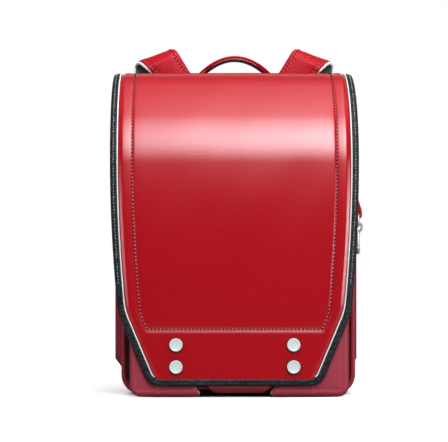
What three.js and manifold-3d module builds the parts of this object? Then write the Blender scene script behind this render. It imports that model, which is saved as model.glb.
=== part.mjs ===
// A firm box-shaped school backpack with a flap that covers its top and its whole front.
// Millimetres, +Z up. The bag stands on its main compartment, with the middle of that bottom at the origin.
// The flap faces -Y and the wearer's side faces +Y.
import * as THREE from 'three';
import { mergeVertices } from 'three/addons/utils/BufferGeometryUtils.js';
import Module from 'manifold-3d';

const wasm = await Module();
wasm.setup();

const degrees = THREE.MathUtils.degToRad;

// Driving dimensions
const GAP = 0.3; // between pieces that are sewn, riveted or seated together
const WALL = 2.5; // leather wall

const BODY = { halfWidth: 128, height: 318, cornerRadius: 22, backY: 55.7, frontY: -58 };
const BACK = { thickness: 3, flange: 9, flangeFootZ: 31, topZ: 337, topRadius: 8, bottomZ: 0.5 };
const FRONT_WALL = { thickness: 2.7, topZ: 300 };
const POCKET = {
  halfWidth: 114, height: 250, bottomZ: 8, cornerRadius: 9, depthBottom: 45.5, depthTop: 29.5,
  frontThickness: 2.7, frontHalfWidth: 115.6, skirtZ: 3,
};
const NOTCH = { halfWidthBottom: 36, halfWidthTop: 48.4, topZ: 20 };

const FLAP = {
  thickness: 3, halfWidth: 134.6, widestAt: 250, taperBelow: 3.0e-4, taperAbove: 1.6e-4, taperEnd: 400,
  bottomZ: 12, topZ: 352, frontLean: degrees(4), bendDepth: 95, bendHeight: 108, bendY: -5, backRadius: 14,
  hingeZ: 326,
  cornerX: 80.5, cornerRadius: 18, chamferX: 92.4, chamferAngle: degrees(23), cornerBlend: 3,
  crownStart: 100, crownDrop: 4, crownFull: 385, crownEnd: 440,
  columns: [-1, -0.9, -0.8, -0.3, 0.3, 0.8, 0.9, 1],
};
const BINDING = { width: 7.3, proud: 0.9, edgeRound: 1.2 };
const PIPING = { width: 1.6, height: 1.3, endAboveBottom: 11, endBeforeHinge: 48 };
const RIVET = { radius: 7.2, height: 2.2, edge: 0.8, dome: 0.4, x: 63.3, upperZ: 56, lowerZ: 32.4 };

const TAB = {
  thickness: 1.8, topZ: 46, bendZ: 13, bendReach: 10, bendDrop: 8, halfWidthTop: 38, halfWidthEnd: 20,
  endY: -76,
};
const CLASP = { halfWidth: 20, depth: 26, thickness: 2, behindTab: 4 };

const ANCHOR = { halfWidth: 64, bottomZ: 300, topZ: 336, thickness: 9, cornerRadius: 8 };
const HANDLE = {
  apexZ: 375, fall: 0.0138, thickness: 6, width: 18, footWidth: 8.4, narrowFrom: 0.45, narrowTo: 0.78,
  edge: 1.6, steps: 15,
};

const STRAP = {
  width: 38, swell: 6, thickness: 9, endThickness: 5, edge: 3.2, crestTilt: degrees(20), crestRadius: 13,
  crestX: 76.7, crestZ: 366.8, rootZ: 314, endY: 118, endZ: 172, pull: 62, bulge: 31, thinFrom: 0.8,
  riseShares: [1, 0.6, 0.25], turnSteps: 10, hangSteps: 11,
};
const BUCKLE = {
  halfWidth: 17, halfHeight: 13, barWidth: 4, windowHalfWidth: 12.5, thickness: 4, cornerRadius: 3,
};
const LOWER = {
  width: 22, thickness: 3, footX: 108, footZ: 24, liftZ: 54, pull: 26, steps: 7, lainStations: 4,
};
const STRAP_PATCH = { halfWidth: 17, halfTop: 13, bottomZ: 20, topZ: 50, thickness: 2.5 };
const PAD = { halfWidth: 90, bottomZ: 64, topZ: 292, thickness: 13, bevel: 4, cornerRadius: 22 };

const HOOK = {
  x: 136, y: 20, tabTopZ: 229, barZ: 196, tabRadius: 4.6, tabWidth: 14, ringWidth: 24, ringHeight: 12,
  ringCorner: 5, wire: 1.5, eyeHole: 3.4, eyeWire: 1.4, neck: 2.2, thickness: 5, loopCenterZ: 165,
  outer: { y: 10, z: 13 }, inner: { y: 6.2, z: 9 }, throatFrom: degrees(200), throatTo: degrees(465),
};
const GATE = { pivotY: -3.8, pivotZ: 9.7, endZ: -4.2, halfWidth: 1.4, thickness: 4 };

// Materials
const leatherRed = new THREE.MeshStandardMaterial({ color: 0xb3141f, roughness: 0.42, metalness: 0 });
const leatherBlack = new THREE.MeshStandardMaterial({ color: 0x17181b, roughness: 0.5, metalness: 0 });
const reflective = new THREE.MeshStandardMaterial({ color: 0xdfe8e6, roughness: 0.4, metalness: 0.1 });
const silver = new THREE.MeshStandardMaterial({ color: 0xd6dedc, roughness: 0.25, metalness: 0.9 });
const meshGrey = new THREE.MeshStandardMaterial({ color: 0x33383a, roughness: 0.9, metalness: 0 });
const plasticBlack = new THREE.MeshStandardMaterial({ color: 0x1b1c1f, roughness: 0.55, metalness: 0 });

const bag = new THREE.Group();

function addPiece(name, geometry, material) {
  const mesh = new THREE.Mesh(geometry, material);
  mesh.name = name;
  bag.add(mesh);
  return mesh;
}

// A closed solid through rings of the same number of points. The ends are closed by fans, or by
// ladders where a ring is a thin sheet: one face's points and then the other's, backwards.
function loft(rings, { sheet = false, closed = false } = {}) {
  const count = rings[0].length;
  const index = [];
  const spans = closed ? rings.length : rings.length - 1;
  for (let r = 0; r < spans; r++) {
    const here = r * count;
    const next = ((r + 1) % rings.length) * count;
    for (let i = 0; i < count; i++) {
      const j = (i + 1) % count;
      index.push(here + i, here + j, next + j, here + i, next + j, next + i);
    }
  }
  if (!closed) {
    const last = (rings.length - 1) * count;
    for (const [a, b, c] of capTriangles(count, sheet)) {
      index.push(c, b, a, last + a, last + b, last + c);
    }
  }
  const coordinates = rings.flat().flatMap((p) => p.toArray());
  const geometry = new THREE.BufferGeometry();
  geometry.setAttribute('position', new THREE.Float32BufferAttribute(coordinates, 3));
  geometry.setIndex(index);
  geometry.computeVertexNormals();
  return facingOut(geometry);
}

function capTriangles(count, sheet) {
  const triangles = [];
  if (sheet) {
    for (let i = 0; i < count / 2 - 1; i++) {
      triangles.push([i, i + 1, count - 1 - i], [i + 1, count - 2 - i, count - 1 - i]);
    }
  } else {
    for (let i = 1; i < count - 1; i++) triangles.push([0, i, i + 1]);
  }
  return triangles;
}

// Direction of a list of points at one of them, from its neighbours
function directionAt(points, i) {
  const before = points[Math.max(0, i - 1)];
  const after = points[Math.min(points.length - 1, i + 1)];
  return after.clone().sub(before).normalize();
}

// Turns the faces round where the rings run the other way, so that they point out.
function facingOut(geometry) {
  const { position } = geometry.attributes;
  const index = geometry.index.array;
  const [a, b, c] = [new THREE.Vector3(), new THREE.Vector3(), new THREE.Vector3()];
  let volume = 0;
  for (let i = 0; i < index.length; i += 3) {
    a.fromBufferAttribute(position, index[i]);
    b.fromBufferAttribute(position, index[i + 1]);
    c.fromBufferAttribute(position, index[i + 2]);
    volume += a.dot(b.cross(c));
  }
  if (volume < 0) {
    for (let i = 0; i < index.length; i += 3) [index[i + 1], index[i + 2]] = [index[i + 2], index[i + 1]];
    geometry.computeVertexNormals();
  }
  return geometry;
}

// Joins and cuts, on closed geometries
function solidOf(geometry) {
  const bare = geometry.clone();
  bare.deleteAttribute('normal');
  bare.deleteAttribute('uv');
  const merged = mergeVertices(bare, 1e-4);
  const vertProperties = new Float32Array(merged.attributes.position.array);
  const triVerts = new Uint32Array(merged.index.array);
  return new wasm.Manifold(new wasm.Mesh({ numProp: 3, vertProperties, triVerts }));
}

function geometryOf(solid) {
  const mesh = solid.getMesh();
  const geometry = new THREE.BufferGeometry();
  geometry.setAttribute('position', new THREE.BufferAttribute(new Float32Array(mesh.vertProperties), 3));
  geometry.setIndex(new THREE.BufferAttribute(new Uint32Array(mesh.triVerts), 1));
  geometry.computeVertexNormals();
  return geometry;
}

// A flat outline drawn in (x, z) as a plate between two planes of constant y
function upright(shape, frontY, backY, curveSegments = 6) {
  const depth = backY - frontY;
  const geometry = new THREE.ExtrudeGeometry(shape, { depth, bevelEnabled: false, curveSegments });
  return geometry.rotateX(Math.PI / 2).translate(0, backY, 0);
}

// The same plate with each point moved to frontY(z) or backY(z), so that it can lean
function leaning(shape, frontY, backY) {
  const geometry = upright(shape, -1, 0);
  const { position } = geometry.attributes;
  for (let i = 0; i < position.count; i++) {
    const z = position.getZ(i);
    position.setY(i, position.getY(i) < -0.5 ? frontY(z) : backY(z));
  }
  return geometry;
}

// Outline of a panel that is open or straight at the top and has round bottom corners
function tub({ halfWidth, bottomZ, topZ, radius }) {
  const shape = new THREE.Shape();
  shape.moveTo(-halfWidth, topZ);
  shape.lineTo(-halfWidth, bottomZ + radius);
  shape.absarc(-halfWidth + radius, bottomZ + radius, radius, Math.PI, 1.5 * Math.PI, false);
  shape.absarc(halfWidth - radius, bottomZ + radius, radius, 1.5 * Math.PI, 2 * Math.PI, false);
  shape.lineTo(halfWidth, topZ);
  return shape;
}

// Outline of a strip that runs down one side, along the bottom and up the other side
function gussetStrip({ halfWidth, bottomZ, topZ, radius, wall }) {
  const shape = tub({ halfWidth, bottomZ, topZ, radius });
  const inside = halfWidth - wall;
  const r = radius - wall;
  shape.lineTo(inside, topZ);
  shape.absarc(inside - r, bottomZ + radius, r, 2 * Math.PI, 1.5 * Math.PI, true);
  shape.absarc(-inside + r, bottomZ + radius, r, 1.5 * Math.PI, Math.PI, true);
  shape.lineTo(-inside, topZ);
  return shape;
}

// Main compartment: back panel with its side flanges, gusset and front wall
const backFaceY = BODY.backY + GAP + BACK.thickness;

function makeBackPanel() {
  const r = BODY.cornerRadius;
  const wide = BODY.halfWidth + BACK.flange;
  const right = new THREE.Path();
  right.moveTo(0, BACK.bottomZ);
  right.absarc(BODY.halfWidth - r, BACK.bottomZ + r, r, -0.5 * Math.PI, 0, false);
  right.lineTo(wide, BACK.flangeFootZ);
  right.absarc(wide - BACK.topRadius, BACK.topZ - BACK.topRadius, BACK.topRadius, 0, 0.5 * Math.PI, false);
  const half = right.getPoints(6).slice(1);
  const mirrored = half.map((p) => new THREE.Vector2(-p.x, p.y)).reverse();
  const outline = new THREE.Shape([...half, ...mirrored]);
  addPiece('back_panel', upright(outline, BODY.backY + GAP, backFaceY), leatherRed);
}

function makeMainCompartment() {
  const { halfWidth, height, cornerRadius: radius, frontY, backY } = BODY;
  const strip = gussetStrip({ halfWidth, bottomZ: 0, topZ: height, radius, wall: WALL });
  addPiece('main_gusset', upright(strip, frontY, backY), leatherRed);
  const wall = tub({ halfWidth, bottomZ: BACK.bottomZ, topZ: FRONT_WALL.topZ, radius });
  const wallBackY = frontY - GAP;
  addPiece('main_front', upright(wall, wallBackY - FRONT_WALL.thickness, wallBackY), leatherRed);
}

// Front pocket: deeper at the bottom, with a notch in its front panel for the closing tab
const pocketBackY = BODY.frontY - FRONT_WALL.thickness - 2 * GAP;
const pocketEdgeY = (z) =>
  pocketBackY - THREE.MathUtils.mapLinear(z, 0, POCKET.height, POCKET.depthBottom, POCKET.depthTop);
const pocketFaceY = (z) => pocketEdgeY(z) - GAP - POCKET.frontThickness;

function makePocket() {
  const { halfWidth, height, bottomZ, cornerRadius: radius } = POCKET;
  const strip = gussetStrip({ halfWidth, bottomZ, topZ: height, radius, wall: WALL });
  addPiece('pocket_gusset', leaning(strip, pocketEdgeY, () => pocketBackY), leatherRed);

  const panel = new THREE.Shape();
  const r = POCKET.cornerRadius;
  const wide = POCKET.frontHalfWidth;
  panel.moveTo(-wide, height);
  panel.lineTo(-wide, POCKET.skirtZ + r);
  panel.absarc(-wide + r, POCKET.skirtZ + r, r, Math.PI, 1.5 * Math.PI, false);
  panel.lineTo(-NOTCH.halfWidthBottom, POCKET.skirtZ);
  panel.lineTo(-NOTCH.halfWidthTop, NOTCH.topZ);
  panel.lineTo(NOTCH.halfWidthTop, NOTCH.topZ);
  panel.lineTo(NOTCH.halfWidthBottom, POCKET.skirtZ);
  panel.absarc(wide - r, POCKET.skirtZ + r, r, 1.5 * Math.PI, 2 * Math.PI, false);
  panel.lineTo(wide, height);
  addPiece('pocket_front', leaning(panel, pocketFaceY, (z) => pocketEdgeY(z) - GAP), leatherRed);
}

// Flap: a sheet that follows one side profile, from its bottom edge up the front, over the top
// and down to its hinge seam on the back panel. t is the distance along it from the bottom edge.
const flapBackY = backFaceY + GAP + BINDING.proud + FLAP.thickness;
const flapProfile = makeFlapProfile();
const flapLength = flapProfile.getLength();

function makeFlapProfile() {
  const { topZ, bottomZ, frontLean, bendDepth, bendHeight, bendY, backRadius: r, hingeZ } = FLAP;
  const start = Math.atan((bendHeight / bendDepth) * Math.tan(frontLean));
  const bendStart = new THREE.Vector2(
    bendY - bendDepth * Math.cos(start), topZ - bendHeight + bendHeight * Math.sin(start),
  );
  const path = new THREE.Path();
  path.moveTo(bendStart.x - (bendStart.y - bottomZ) * Math.tan(frontLean), bottomZ);
  path.lineTo(bendStart.x, bendStart.y);
  path.absellipse(bendY, topZ - bendHeight, bendDepth, bendHeight, Math.PI - start, 0.5 * Math.PI, true, 0);
  path.lineTo(flapBackY - r, topZ);
  path.absarc(flapBackY - r, topZ - r, r, 0.5 * Math.PI, 0, true);
  path.lineTo(flapBackY, hingeZ);
  return path;
}

// The side borders droop towards the body, less and less over the top, and lie flat at the hinge.
function flapDrop(x, t) {
  const out = Math.max(0, Math.abs(x) - FLAP.crownStart) / (FLAP.halfWidth - FLAP.crownStart);
  return FLAP.crownDrop * out * out * (1 - THREE.MathUtils.smoothstep(t, FLAP.crownFull, FLAP.crownEnd));
}

// A point on the flap, lift above its outer face
function flapPoint(x, t, lift) {
  const step = 0.05;
  const at = (d) => flapProfile.getPoint(THREE.MathUtils.clamp(d / flapLength, 0, 1));
  const along = at(t + step).sub(at(t - step)).normalize();
  const p = at(t);
  const height = lift - flapDrop(x, t);
  return new THREE.Vector3(x, p.x - along.y * height, p.y + along.x * height);
}

const smoothMin = (a, b, k) => Math.min(a, b) - Math.max(k - Math.abs(a - b), 0) ** 2 / (4 * k);

// Half the width of the flap at t, taken in by an inset all round
function flapHalfWidth(t, inset) {
  const r = FLAP.cornerRadius - inset;
  if (t < FLAP.cornerRadius - r * Math.sin(FLAP.chamferAngle)) {
    return FLAP.cornerX + Math.sqrt(Math.max(0, r * r - (FLAP.cornerRadius - t) ** 2));
  }
  const chamfer = FLAP.chamferX + t * Math.tan(FLAP.chamferAngle) - inset / Math.cos(FLAP.chamferAngle);
  const taper = t < FLAP.widestAt ? FLAP.taperBelow : FLAP.taperAbove;
  const away = Math.min(t, FLAP.taperEnd) - FLAP.widestAt;
  return smoothMin(chamfer, FLAP.halfWidth - inset - taper * away * away, FLAP.cornerBlend);
}

// Distances along the flap at which it has a section: close together where it bends
function flapStations(inset) {
  const stepsPerStretch = [9, 11, 3, 5, 1];
  const r = FLAP.cornerRadius - inset;
  const cornerSteps = 4;
  const stations = [];
  for (let i = 0; i <= cornerSteps; i++) {
    const angle = THREE.MathUtils.lerp(0.5 * Math.PI, FLAP.chamferAngle, i / cornerSteps);
    stations.push(FLAP.cornerRadius - r * Math.sin(angle));
  }
  let start = stations.at(-1);
  let end = 0;
  const stretches = flapProfile.curves.filter((curve) => curve.getLength() > GAP);
  stretches.forEach((curve, k) => {
    end += curve.getLength();
    for (let i = 1; i <= stepsPerStretch[k]; i++) {
      stations.push(THREE.MathUtils.lerp(start, end, i / stepsPerStretch[k]));
    }
    start = end;
  });
  return stations;
}

function makeFlap() {
  const inset = BINDING.width + GAP;
  const rings = flapStations(inset).map((t) => {
    const half = flapHalfWidth(t, inset);
    const outer = FLAP.columns.map((u) => flapPoint(u * half, t, 0));
    const inner = FLAP.columns.map((u) => flapPoint(u * half, t, -FLAP.thickness)).reverse();
    return [...outer, ...inner];
  });
  addPiece('flap', loft(rings, { sheet: true }), leatherRed);
}

// The right half of the flap's outline, flattened out, from the middle of the bottom edge to the hinge
function flapOutlineHalf() {
  const bottom = [0, 0.35, 0.7].map((share) => new THREE.Vector2(share * FLAP.cornerX, 0));
  return [...bottom, ...flapStations(0).map((t) => new THREE.Vector2(flapHalfWidth(t, 0), t))];
}

// Sections of an edging that follows a stretch of the outline. Each row of the section table is
// a corner: how far in from the flap's edge it lies, and how high above the flap's outer face.
function edgingRings(outline, section) {
  return outline.map((p, i) => {
    const along = directionAt(outline, i);
    const inward = new THREE.Vector2(-along.y, along.x);
    return section.map(({ inset, lift }) => {
      const q = inward.clone().multiplyScalar(inset).add(p);
      return flapPoint(q.x, q.y, lift);
    });
  });
}

function makeFlapEdging() {
  const right = flapOutlineHalf();
  const left = right.slice(1).map((p) => new THREE.Vector2(-p.x, p.y)).reverse();
  const under = -FLAP.thickness - BINDING.proud;
  const bindingSection = [
    { inset: BINDING.width, lift: BINDING.proud },
    { inset: BINDING.edgeRound, lift: BINDING.proud },
    { inset: 0, lift: -FLAP.thickness / 2 },
    { inset: BINDING.edgeRound, lift: under },
    { inset: BINDING.width, lift: under },
  ];
  addPiece('flap_binding', loft(edgingRings([...left, ...right], bindingSection)), leatherBlack);

  const from = BINDING.width + 2 * GAP;
  const to = from + PIPING.width;
  const pipingSection = [
    { inset: from, lift: GAP },
    { inset: from, lift: 0.8 * PIPING.height },
    { inset: (from + to) / 2, lift: PIPING.height },
    { inset: to, lift: 0.8 * PIPING.height },
    { inset: to, lift: GAP },
  ];
  const inReach = (p) => p.y > PIPING.endAboveBottom - 0.1 && p.y < flapLength - PIPING.endBeforeHinge;
  addPiece('flap_piping_right', loft(edgingRings(right.filter(inReach), pipingSection)), reflective);
  addPiece('flap_piping_left', loft(edgingRings(left.filter(inReach), pipingSection)), reflective);
}

// Rivets: flat round caps on the flap below its stitched panel
function makeRivets() {
  const { radius, height, edge, dome } = RIVET;
  const profile = [
    new THREE.Vector2(0, 0),
    new THREE.Vector2(radius - edge / 2, 0),
    new THREE.Vector2(radius, edge),
    new THREE.Vector2(radius - edge, height - dome),
    new THREE.Vector2(0, height),
  ];
  const cap = new THREE.LatheGeometry(profile, 20);
  cap.rotateX(Math.PI - FLAP.frontLean);
  for (const [row, z] of [['upper', RIVET.upperZ], ['lower', RIVET.lowerZ]]) {
    for (const [side, x] of [['left', -RIVET.x], ['right', RIVET.x]]) {
      const seat = flapPoint(x, (z - FLAP.bottomZ) / Math.cos(FLAP.frontLean), GAP);
      addPiece(`flap_rivet_${row}_${side}`, cap, silver).position.copy(seat);
    }
  }
}

// A flat band through stations of centre, sideways and outward directions, width and thickness
function bandRings(stations, edge) {
  return stations.map(({ centre, sideways, outward, width, thickness }) => {
    const corner = (s, o) =>
      centre.clone().addScaledVector(sideways, s).addScaledVector(outward, o);
    const w = width / 2;
    const h = thickness / 2;
    if (!edge) return [corner(-w, h), corner(w, h), corner(w, -h), corner(-w, -h)];
    return [
      corner(-w, 0), corner(-w + edge, h), corner(w - edge, h),
      corner(w, 0), corner(w - edge, -h), corner(-w + edge, -h),
    ];
  });
}

// Closing tab: sewn behind the flap, through the notch and under the pocket to the clasp
function makeClosure() {
  const tabZ = POCKET.bottomZ - 2 * GAP - CLASP.thickness - TAB.thickness / 2;
  const behindFlap = (z) => {
    const p = flapPoint(0, (z - FLAP.bottomZ) / Math.cos(FLAP.frontLean), 0);
    return p.y + (FLAP.thickness + BINDING.proud + GAP + TAB.thickness / 2) / Math.cos(FLAP.frontLean);
  };
  const bendY = behindFlap(TAB.bendZ);
  const path = new THREE.Path();
  path.moveTo(behindFlap(TAB.topZ), TAB.topZ);
  path.lineTo(bendY, TAB.bendZ);
  path.quadraticCurveTo(behindFlap(TAB.bendZ - TAB.bendDrop), tabZ, bendY + TAB.bendReach, tabZ);
  path.lineTo(TAB.endY, tabZ);
  const points = path.getPoints(5);
  const stations = points.map((p, i) => {
    const along = directionAt(points, i);
    const share = i / (points.length - 1);
    return {
      centre: new THREE.Vector3(0, p.x, p.y),
      sideways: new THREE.Vector3(1, 0, 0),
      outward: new THREE.Vector3(0, along.y, -along.x),
      width: 2 * THREE.MathUtils.lerp(TAB.halfWidthTop, TAB.halfWidthEnd, share),
      thickness: TAB.thickness,
    };
  });
  addPiece('closing_tab', loft(bandRings(stations, 0)), leatherRed);

  const clasp = new THREE.BoxGeometry(2 * CLASP.halfWidth, CLASP.depth, CLASP.thickness);
  const claspZ = POCKET.bottomZ - GAP - CLASP.thickness / 2;
  const claspY = TAB.endY + CLASP.behindTab - CLASP.depth / 2;
  addPiece('bottom_clasp', clasp, silver).position.set(0, claspY, claspZ);
}

function roundedRectangle(halfWidth, bottom, top, r) {
  const shape = new THREE.Shape();
  shape.absarc(halfWidth - r, bottom + r, r, -0.5 * Math.PI, 0, false);
  shape.absarc(halfWidth - r, top - r, r, 0, 0.5 * Math.PI, false);
  shape.absarc(-halfWidth + r, top - r, r, 0.5 * Math.PI, Math.PI, false);
  shape.absarc(-halfWidth + r, bottom + r, r, Math.PI, 1.5 * Math.PI, false);
  return shape;
}

// Anchor plate high on the back, with the handle standing on it
const anchorBackY = flapBackY + GAP + ANCHOR.thickness;

function makeAnchorAndHandle() {
  const plate = roundedRectangle(ANCHOR.halfWidth, ANCHOR.bottomZ, ANCHOR.topZ, ANCHOR.cornerRadius);
  addPiece('strap_anchor', upright(plate, flapBackY + GAP, anchorBackY, 4), plasticBlack);

  const footZ = ANCHOR.topZ + GAP;
  const y = flapBackY + GAP + ANCHOR.thickness / 2;
  const halfSpan = Math.sqrt((HANDLE.apexZ - footZ) / HANDLE.fall);
  const stations = [];
  for (let i = 0; i <= HANDLE.steps; i++) {
    const x = THREE.MathUtils.lerp(-halfSpan, halfSpan, i / HANDLE.steps);
    const slope = -2 * HANDLE.fall * x;
    const atFoot = i === 0 || i === HANDLE.steps;
    const outward = atFoot ? new THREE.Vector3(Math.sign(x), 0, 0) : new THREE.Vector3(-slope, 0, 1);
    const narrowed = THREE.MathUtils.smoothstep(Math.abs(x / halfSpan), HANDLE.narrowFrom, HANDLE.narrowTo);
    stations.push({
      centre: new THREE.Vector3(x, y, HANDLE.apexZ - HANDLE.fall * x * x),
      sideways: new THREE.Vector3(0, 1, 0),
      outward: outward.normalize(),
      width: THREE.MathUtils.lerp(HANDLE.width, HANDLE.footWidth, narrowed),
      thickness: HANDLE.thickness,
    });
  }
  addPiece('handle', loft(bandRings(stations, HANDLE.edge)), leatherRed);
}

// Shoulder strap: rises outwards from the anchor, folds over a slanting crest and hangs plumb.
// A strap that leans out by twice the tilt of its crest comes down vertically.
const strapFrontY = anchorBackY + GAP + STRAP.thickness / 2;

function shoulderStations(side) {
  const { crestTilt, crestRadius: r, width, swell, thickness } = STRAP;
  const lean = 2 * crestTilt;
  const crestLine = new THREE.Vector3(side * Math.cos(crestTilt), 0, -Math.sin(crestTilt));
  const crestUp = new THREE.Vector3(side * Math.sin(crestTilt), 0, Math.cos(crestTilt));
  const toBack = new THREE.Vector3(0, 1, 0);
  const rise = new THREE.Vector3(side * Math.sin(lean), 0, Math.cos(lean));
  const foldStart = new THREE.Vector3(side * STRAP.crestX, strapFrontY, STRAP.crestZ);
  const riseLength = (STRAP.crestZ - STRAP.rootZ) / Math.cos(lean);
  const stations = [];

  for (const share of STRAP.riseShares) {
    stations.push({
      centre: foldStart.clone().addScaledVector(rise, -share * riseLength),
      sideways: new THREE.Vector3(side * Math.cos(lean), 0, -Math.sin(lean)),
      outward: new THREE.Vector3(0, -1, 0),
      width, thickness,
    });
  }
  const [s, c] = [Math.sin(crestTilt), Math.cos(crestTilt)];
  for (let i = 0; i <= STRAP.turnSteps; i++) {
    const turn = (Math.PI * i) / STRAP.turnSteps;
    const round = crestUp.clone().multiplyScalar(Math.cos(turn)).addScaledVector(toBack, Math.sin(turn));
    stations.push({
      centre: foldStart.clone()
        .addScaledVector(crestLine, r * turn * Math.tan(crestTilt))
        .addScaledVector(crestUp, r * Math.sin(turn))
        .addScaledVector(toBack, r * (1 - Math.cos(turn))),
      sideways: crestLine.clone().multiplyScalar(c).addScaledVector(round, -s),
      outward: crestUp.clone().multiplyScalar(Math.sin(turn)).addScaledVector(toBack, -Math.cos(turn)),
      width, thickness,
    });
  }
  const top = stations.at(-1).centre;
  const end = new THREE.Vector3(top.x, STRAP.endY, STRAP.endZ);
  const hang = new THREE.CubicBezierCurve3(
    top, new THREE.Vector3(top.x, top.y, top.z - STRAP.pull),
    new THREE.Vector3(top.x, end.y + STRAP.bulge, end.z + STRAP.pull), end,
  );
  for (let i = 1; i <= STRAP.hangSteps; i++) {
    const share = i / STRAP.hangSteps;
    const along = hang.getTangent(share);
    const thinned = THREE.MathUtils.smoothstep(share, STRAP.thinFrom, 1);
    stations.push({
      centre: hang.getPoint(share),
      sideways: new THREE.Vector3(side, 0, 0),
      outward: new THREE.Vector3(0, -along.z, along.y),
      width: width + swell * Math.sin(Math.PI * share),
      thickness: THREE.MathUtils.lerp(thickness, STRAP.endThickness, thinned),
    });
  }
  return { stations, hang };
}

// One side's straps. The lower strap goes from a patch at the bottom of the back up through the
// buckle, and its end lies on the shoulder strap.
function makeStrap(side, name) {
  const { stations, hang } = shoulderStations(side);
  addPiece(`shoulder_strap_${name}`, loft(bandRings(stations, STRAP.edge)), leatherRed);

  const { halfWidth, halfHeight: bar, thickness } = BUCKLE;
  const end = hang.getPoint(1);
  const up = hang.getTangent(1).negate();
  const away = new THREE.Vector3(0, up.z, -up.y);
  const centre = end.clone().addScaledVector(up, -bar - 2 * GAP);
  const frame = roundedRectangle(halfWidth, -bar, bar, BUCKLE.cornerRadius);
  const windowTop = bar - BUCKLE.barWidth;
  frame.holes.push(roundedRectangle(BUCKLE.windowHalfWidth, -windowTop, windowTop, BUCKLE.cornerRadius / 3));
  const buckle = new THREE.ExtrudeGeometry(
    frame, { depth: thickness, bevelEnabled: false, curveSegments: 3 });
  buckle.translate(0, 0, -thickness / 2);
  const mesh = addPiece(`strap_buckle_${name}`, buckle, silver);
  mesh.position.copy(centre);
  mesh.quaternion.setFromUnitVectors(new THREE.Vector3(0, 1, 0), up);

  const layY = backFaceY + GAP + LOWER.thickness / 2;
  const local = (a, b) => centre.clone().addScaledVector(up, a).addScaledVector(away, b);
  const clear = (thickness + LOWER.thickness) / 2 + 3 * GAP;
  const footX = side * LOWER.footX;
  const foot = [new THREE.Vector3(footX, layY, LOWER.footZ), new THREE.Vector3(footX, layY, LOWER.liftZ)];
  const low = local(-2.2 * bar, -clear - 1);
  const sweep = new THREE.CubicBezierCurve3(
    foot[1], new THREE.Vector3(footX, layY, LOWER.liftZ + LOWER.pull),
    low.clone().addScaledVector(up, -LOWER.pull), low,
  );
  const through = [
    { along: -bar, away: -clear },
    { along: -windowTop + 1, away: -clear + 0.4 },
    { along: windowTop - 1, away: clear - 0.4 },
    { along: bar, away: clear + 0.4 },
  ];
  const lain = stations.slice(-LOWER.lainStations).reverse().map((station) => {
    const lift = (station.thickness + LOWER.thickness) / 2 + 2 * GAP;
    return station.centre.clone().addScaledVector(station.outward, lift);
  });
  const passed = through.map((p) => local(p.along, p.away));
  const points = [foot[0], ...sweep.getPoints(LOWER.steps), ...passed, ...lain.slice(1)];
  const belt = points.map((p, i) => {
    const along = directionAt(points, i);
    return {
      centre: p,
      sideways: new THREE.Vector3(side, 0, 0),
      outward: new THREE.Vector3(0, along.z, -along.y),
      width: LOWER.width,
      thickness: LOWER.thickness,
    };
  });
  addPiece(`lower_strap_${name}`, loft(bandRings(belt, 0)), leatherRed);

  const patch = new THREE.Shape();
  patch.moveTo(-STRAP_PATCH.halfWidth, STRAP_PATCH.bottomZ);
  patch.lineTo(STRAP_PATCH.halfWidth, STRAP_PATCH.bottomZ);
  patch.lineTo(STRAP_PATCH.halfTop, STRAP_PATCH.topZ);
  patch.lineTo(-STRAP_PATCH.halfTop, STRAP_PATCH.topZ);
  const patchY = layY + LOWER.thickness / 2 + GAP;
  const sewn = upright(patch, patchY, patchY + STRAP_PATCH.thickness).translate(footX, 0, 0);
  addPiece(`strap_tab_${name}`, sewn, leatherRed);
}

// Cushion on the wearer's side
function makeBackPad() {
  const { halfWidth, bottomZ, topZ, thickness, bevel, cornerRadius } = PAD;
  const outline = roundedRectangle(halfWidth - bevel, bottomZ + bevel, topZ - bevel, cornerRadius);
  const pad = new THREE.ExtrudeGeometry(outline, {
    depth: thickness - 2 * bevel, bevelThickness: bevel, bevelSize: bevel, bevelSegments: 2, curveSegments: 4,
  });
  pad.rotateX(Math.PI / 2).translate(0, backFaceY + GAP + thickness - bevel, 0);
  addPiece('back_pad', pad, meshGrey);
}

// Snap hook on the right-hand side: leather tab, ring through its fold, and the hook that hangs on the ring
function roundedLoop(width, height, radius, perCorner) {
  const points = [];
  const centres = [[1, 1], [-1, 1], [-1, -1], [1, -1]];
  centres.forEach(([a, b], k) => {
    for (let i = 0; i <= perCorner; i++) {
      const angle = 0.5 * Math.PI * (k + i / perCorner);
      points.push(new THREE.Vector2(
        a * (width / 2 - radius) + radius * Math.cos(angle),
        b * (height / 2 - radius) + radius * Math.sin(angle),
      ));
    }
  });
  return points;
}

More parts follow.
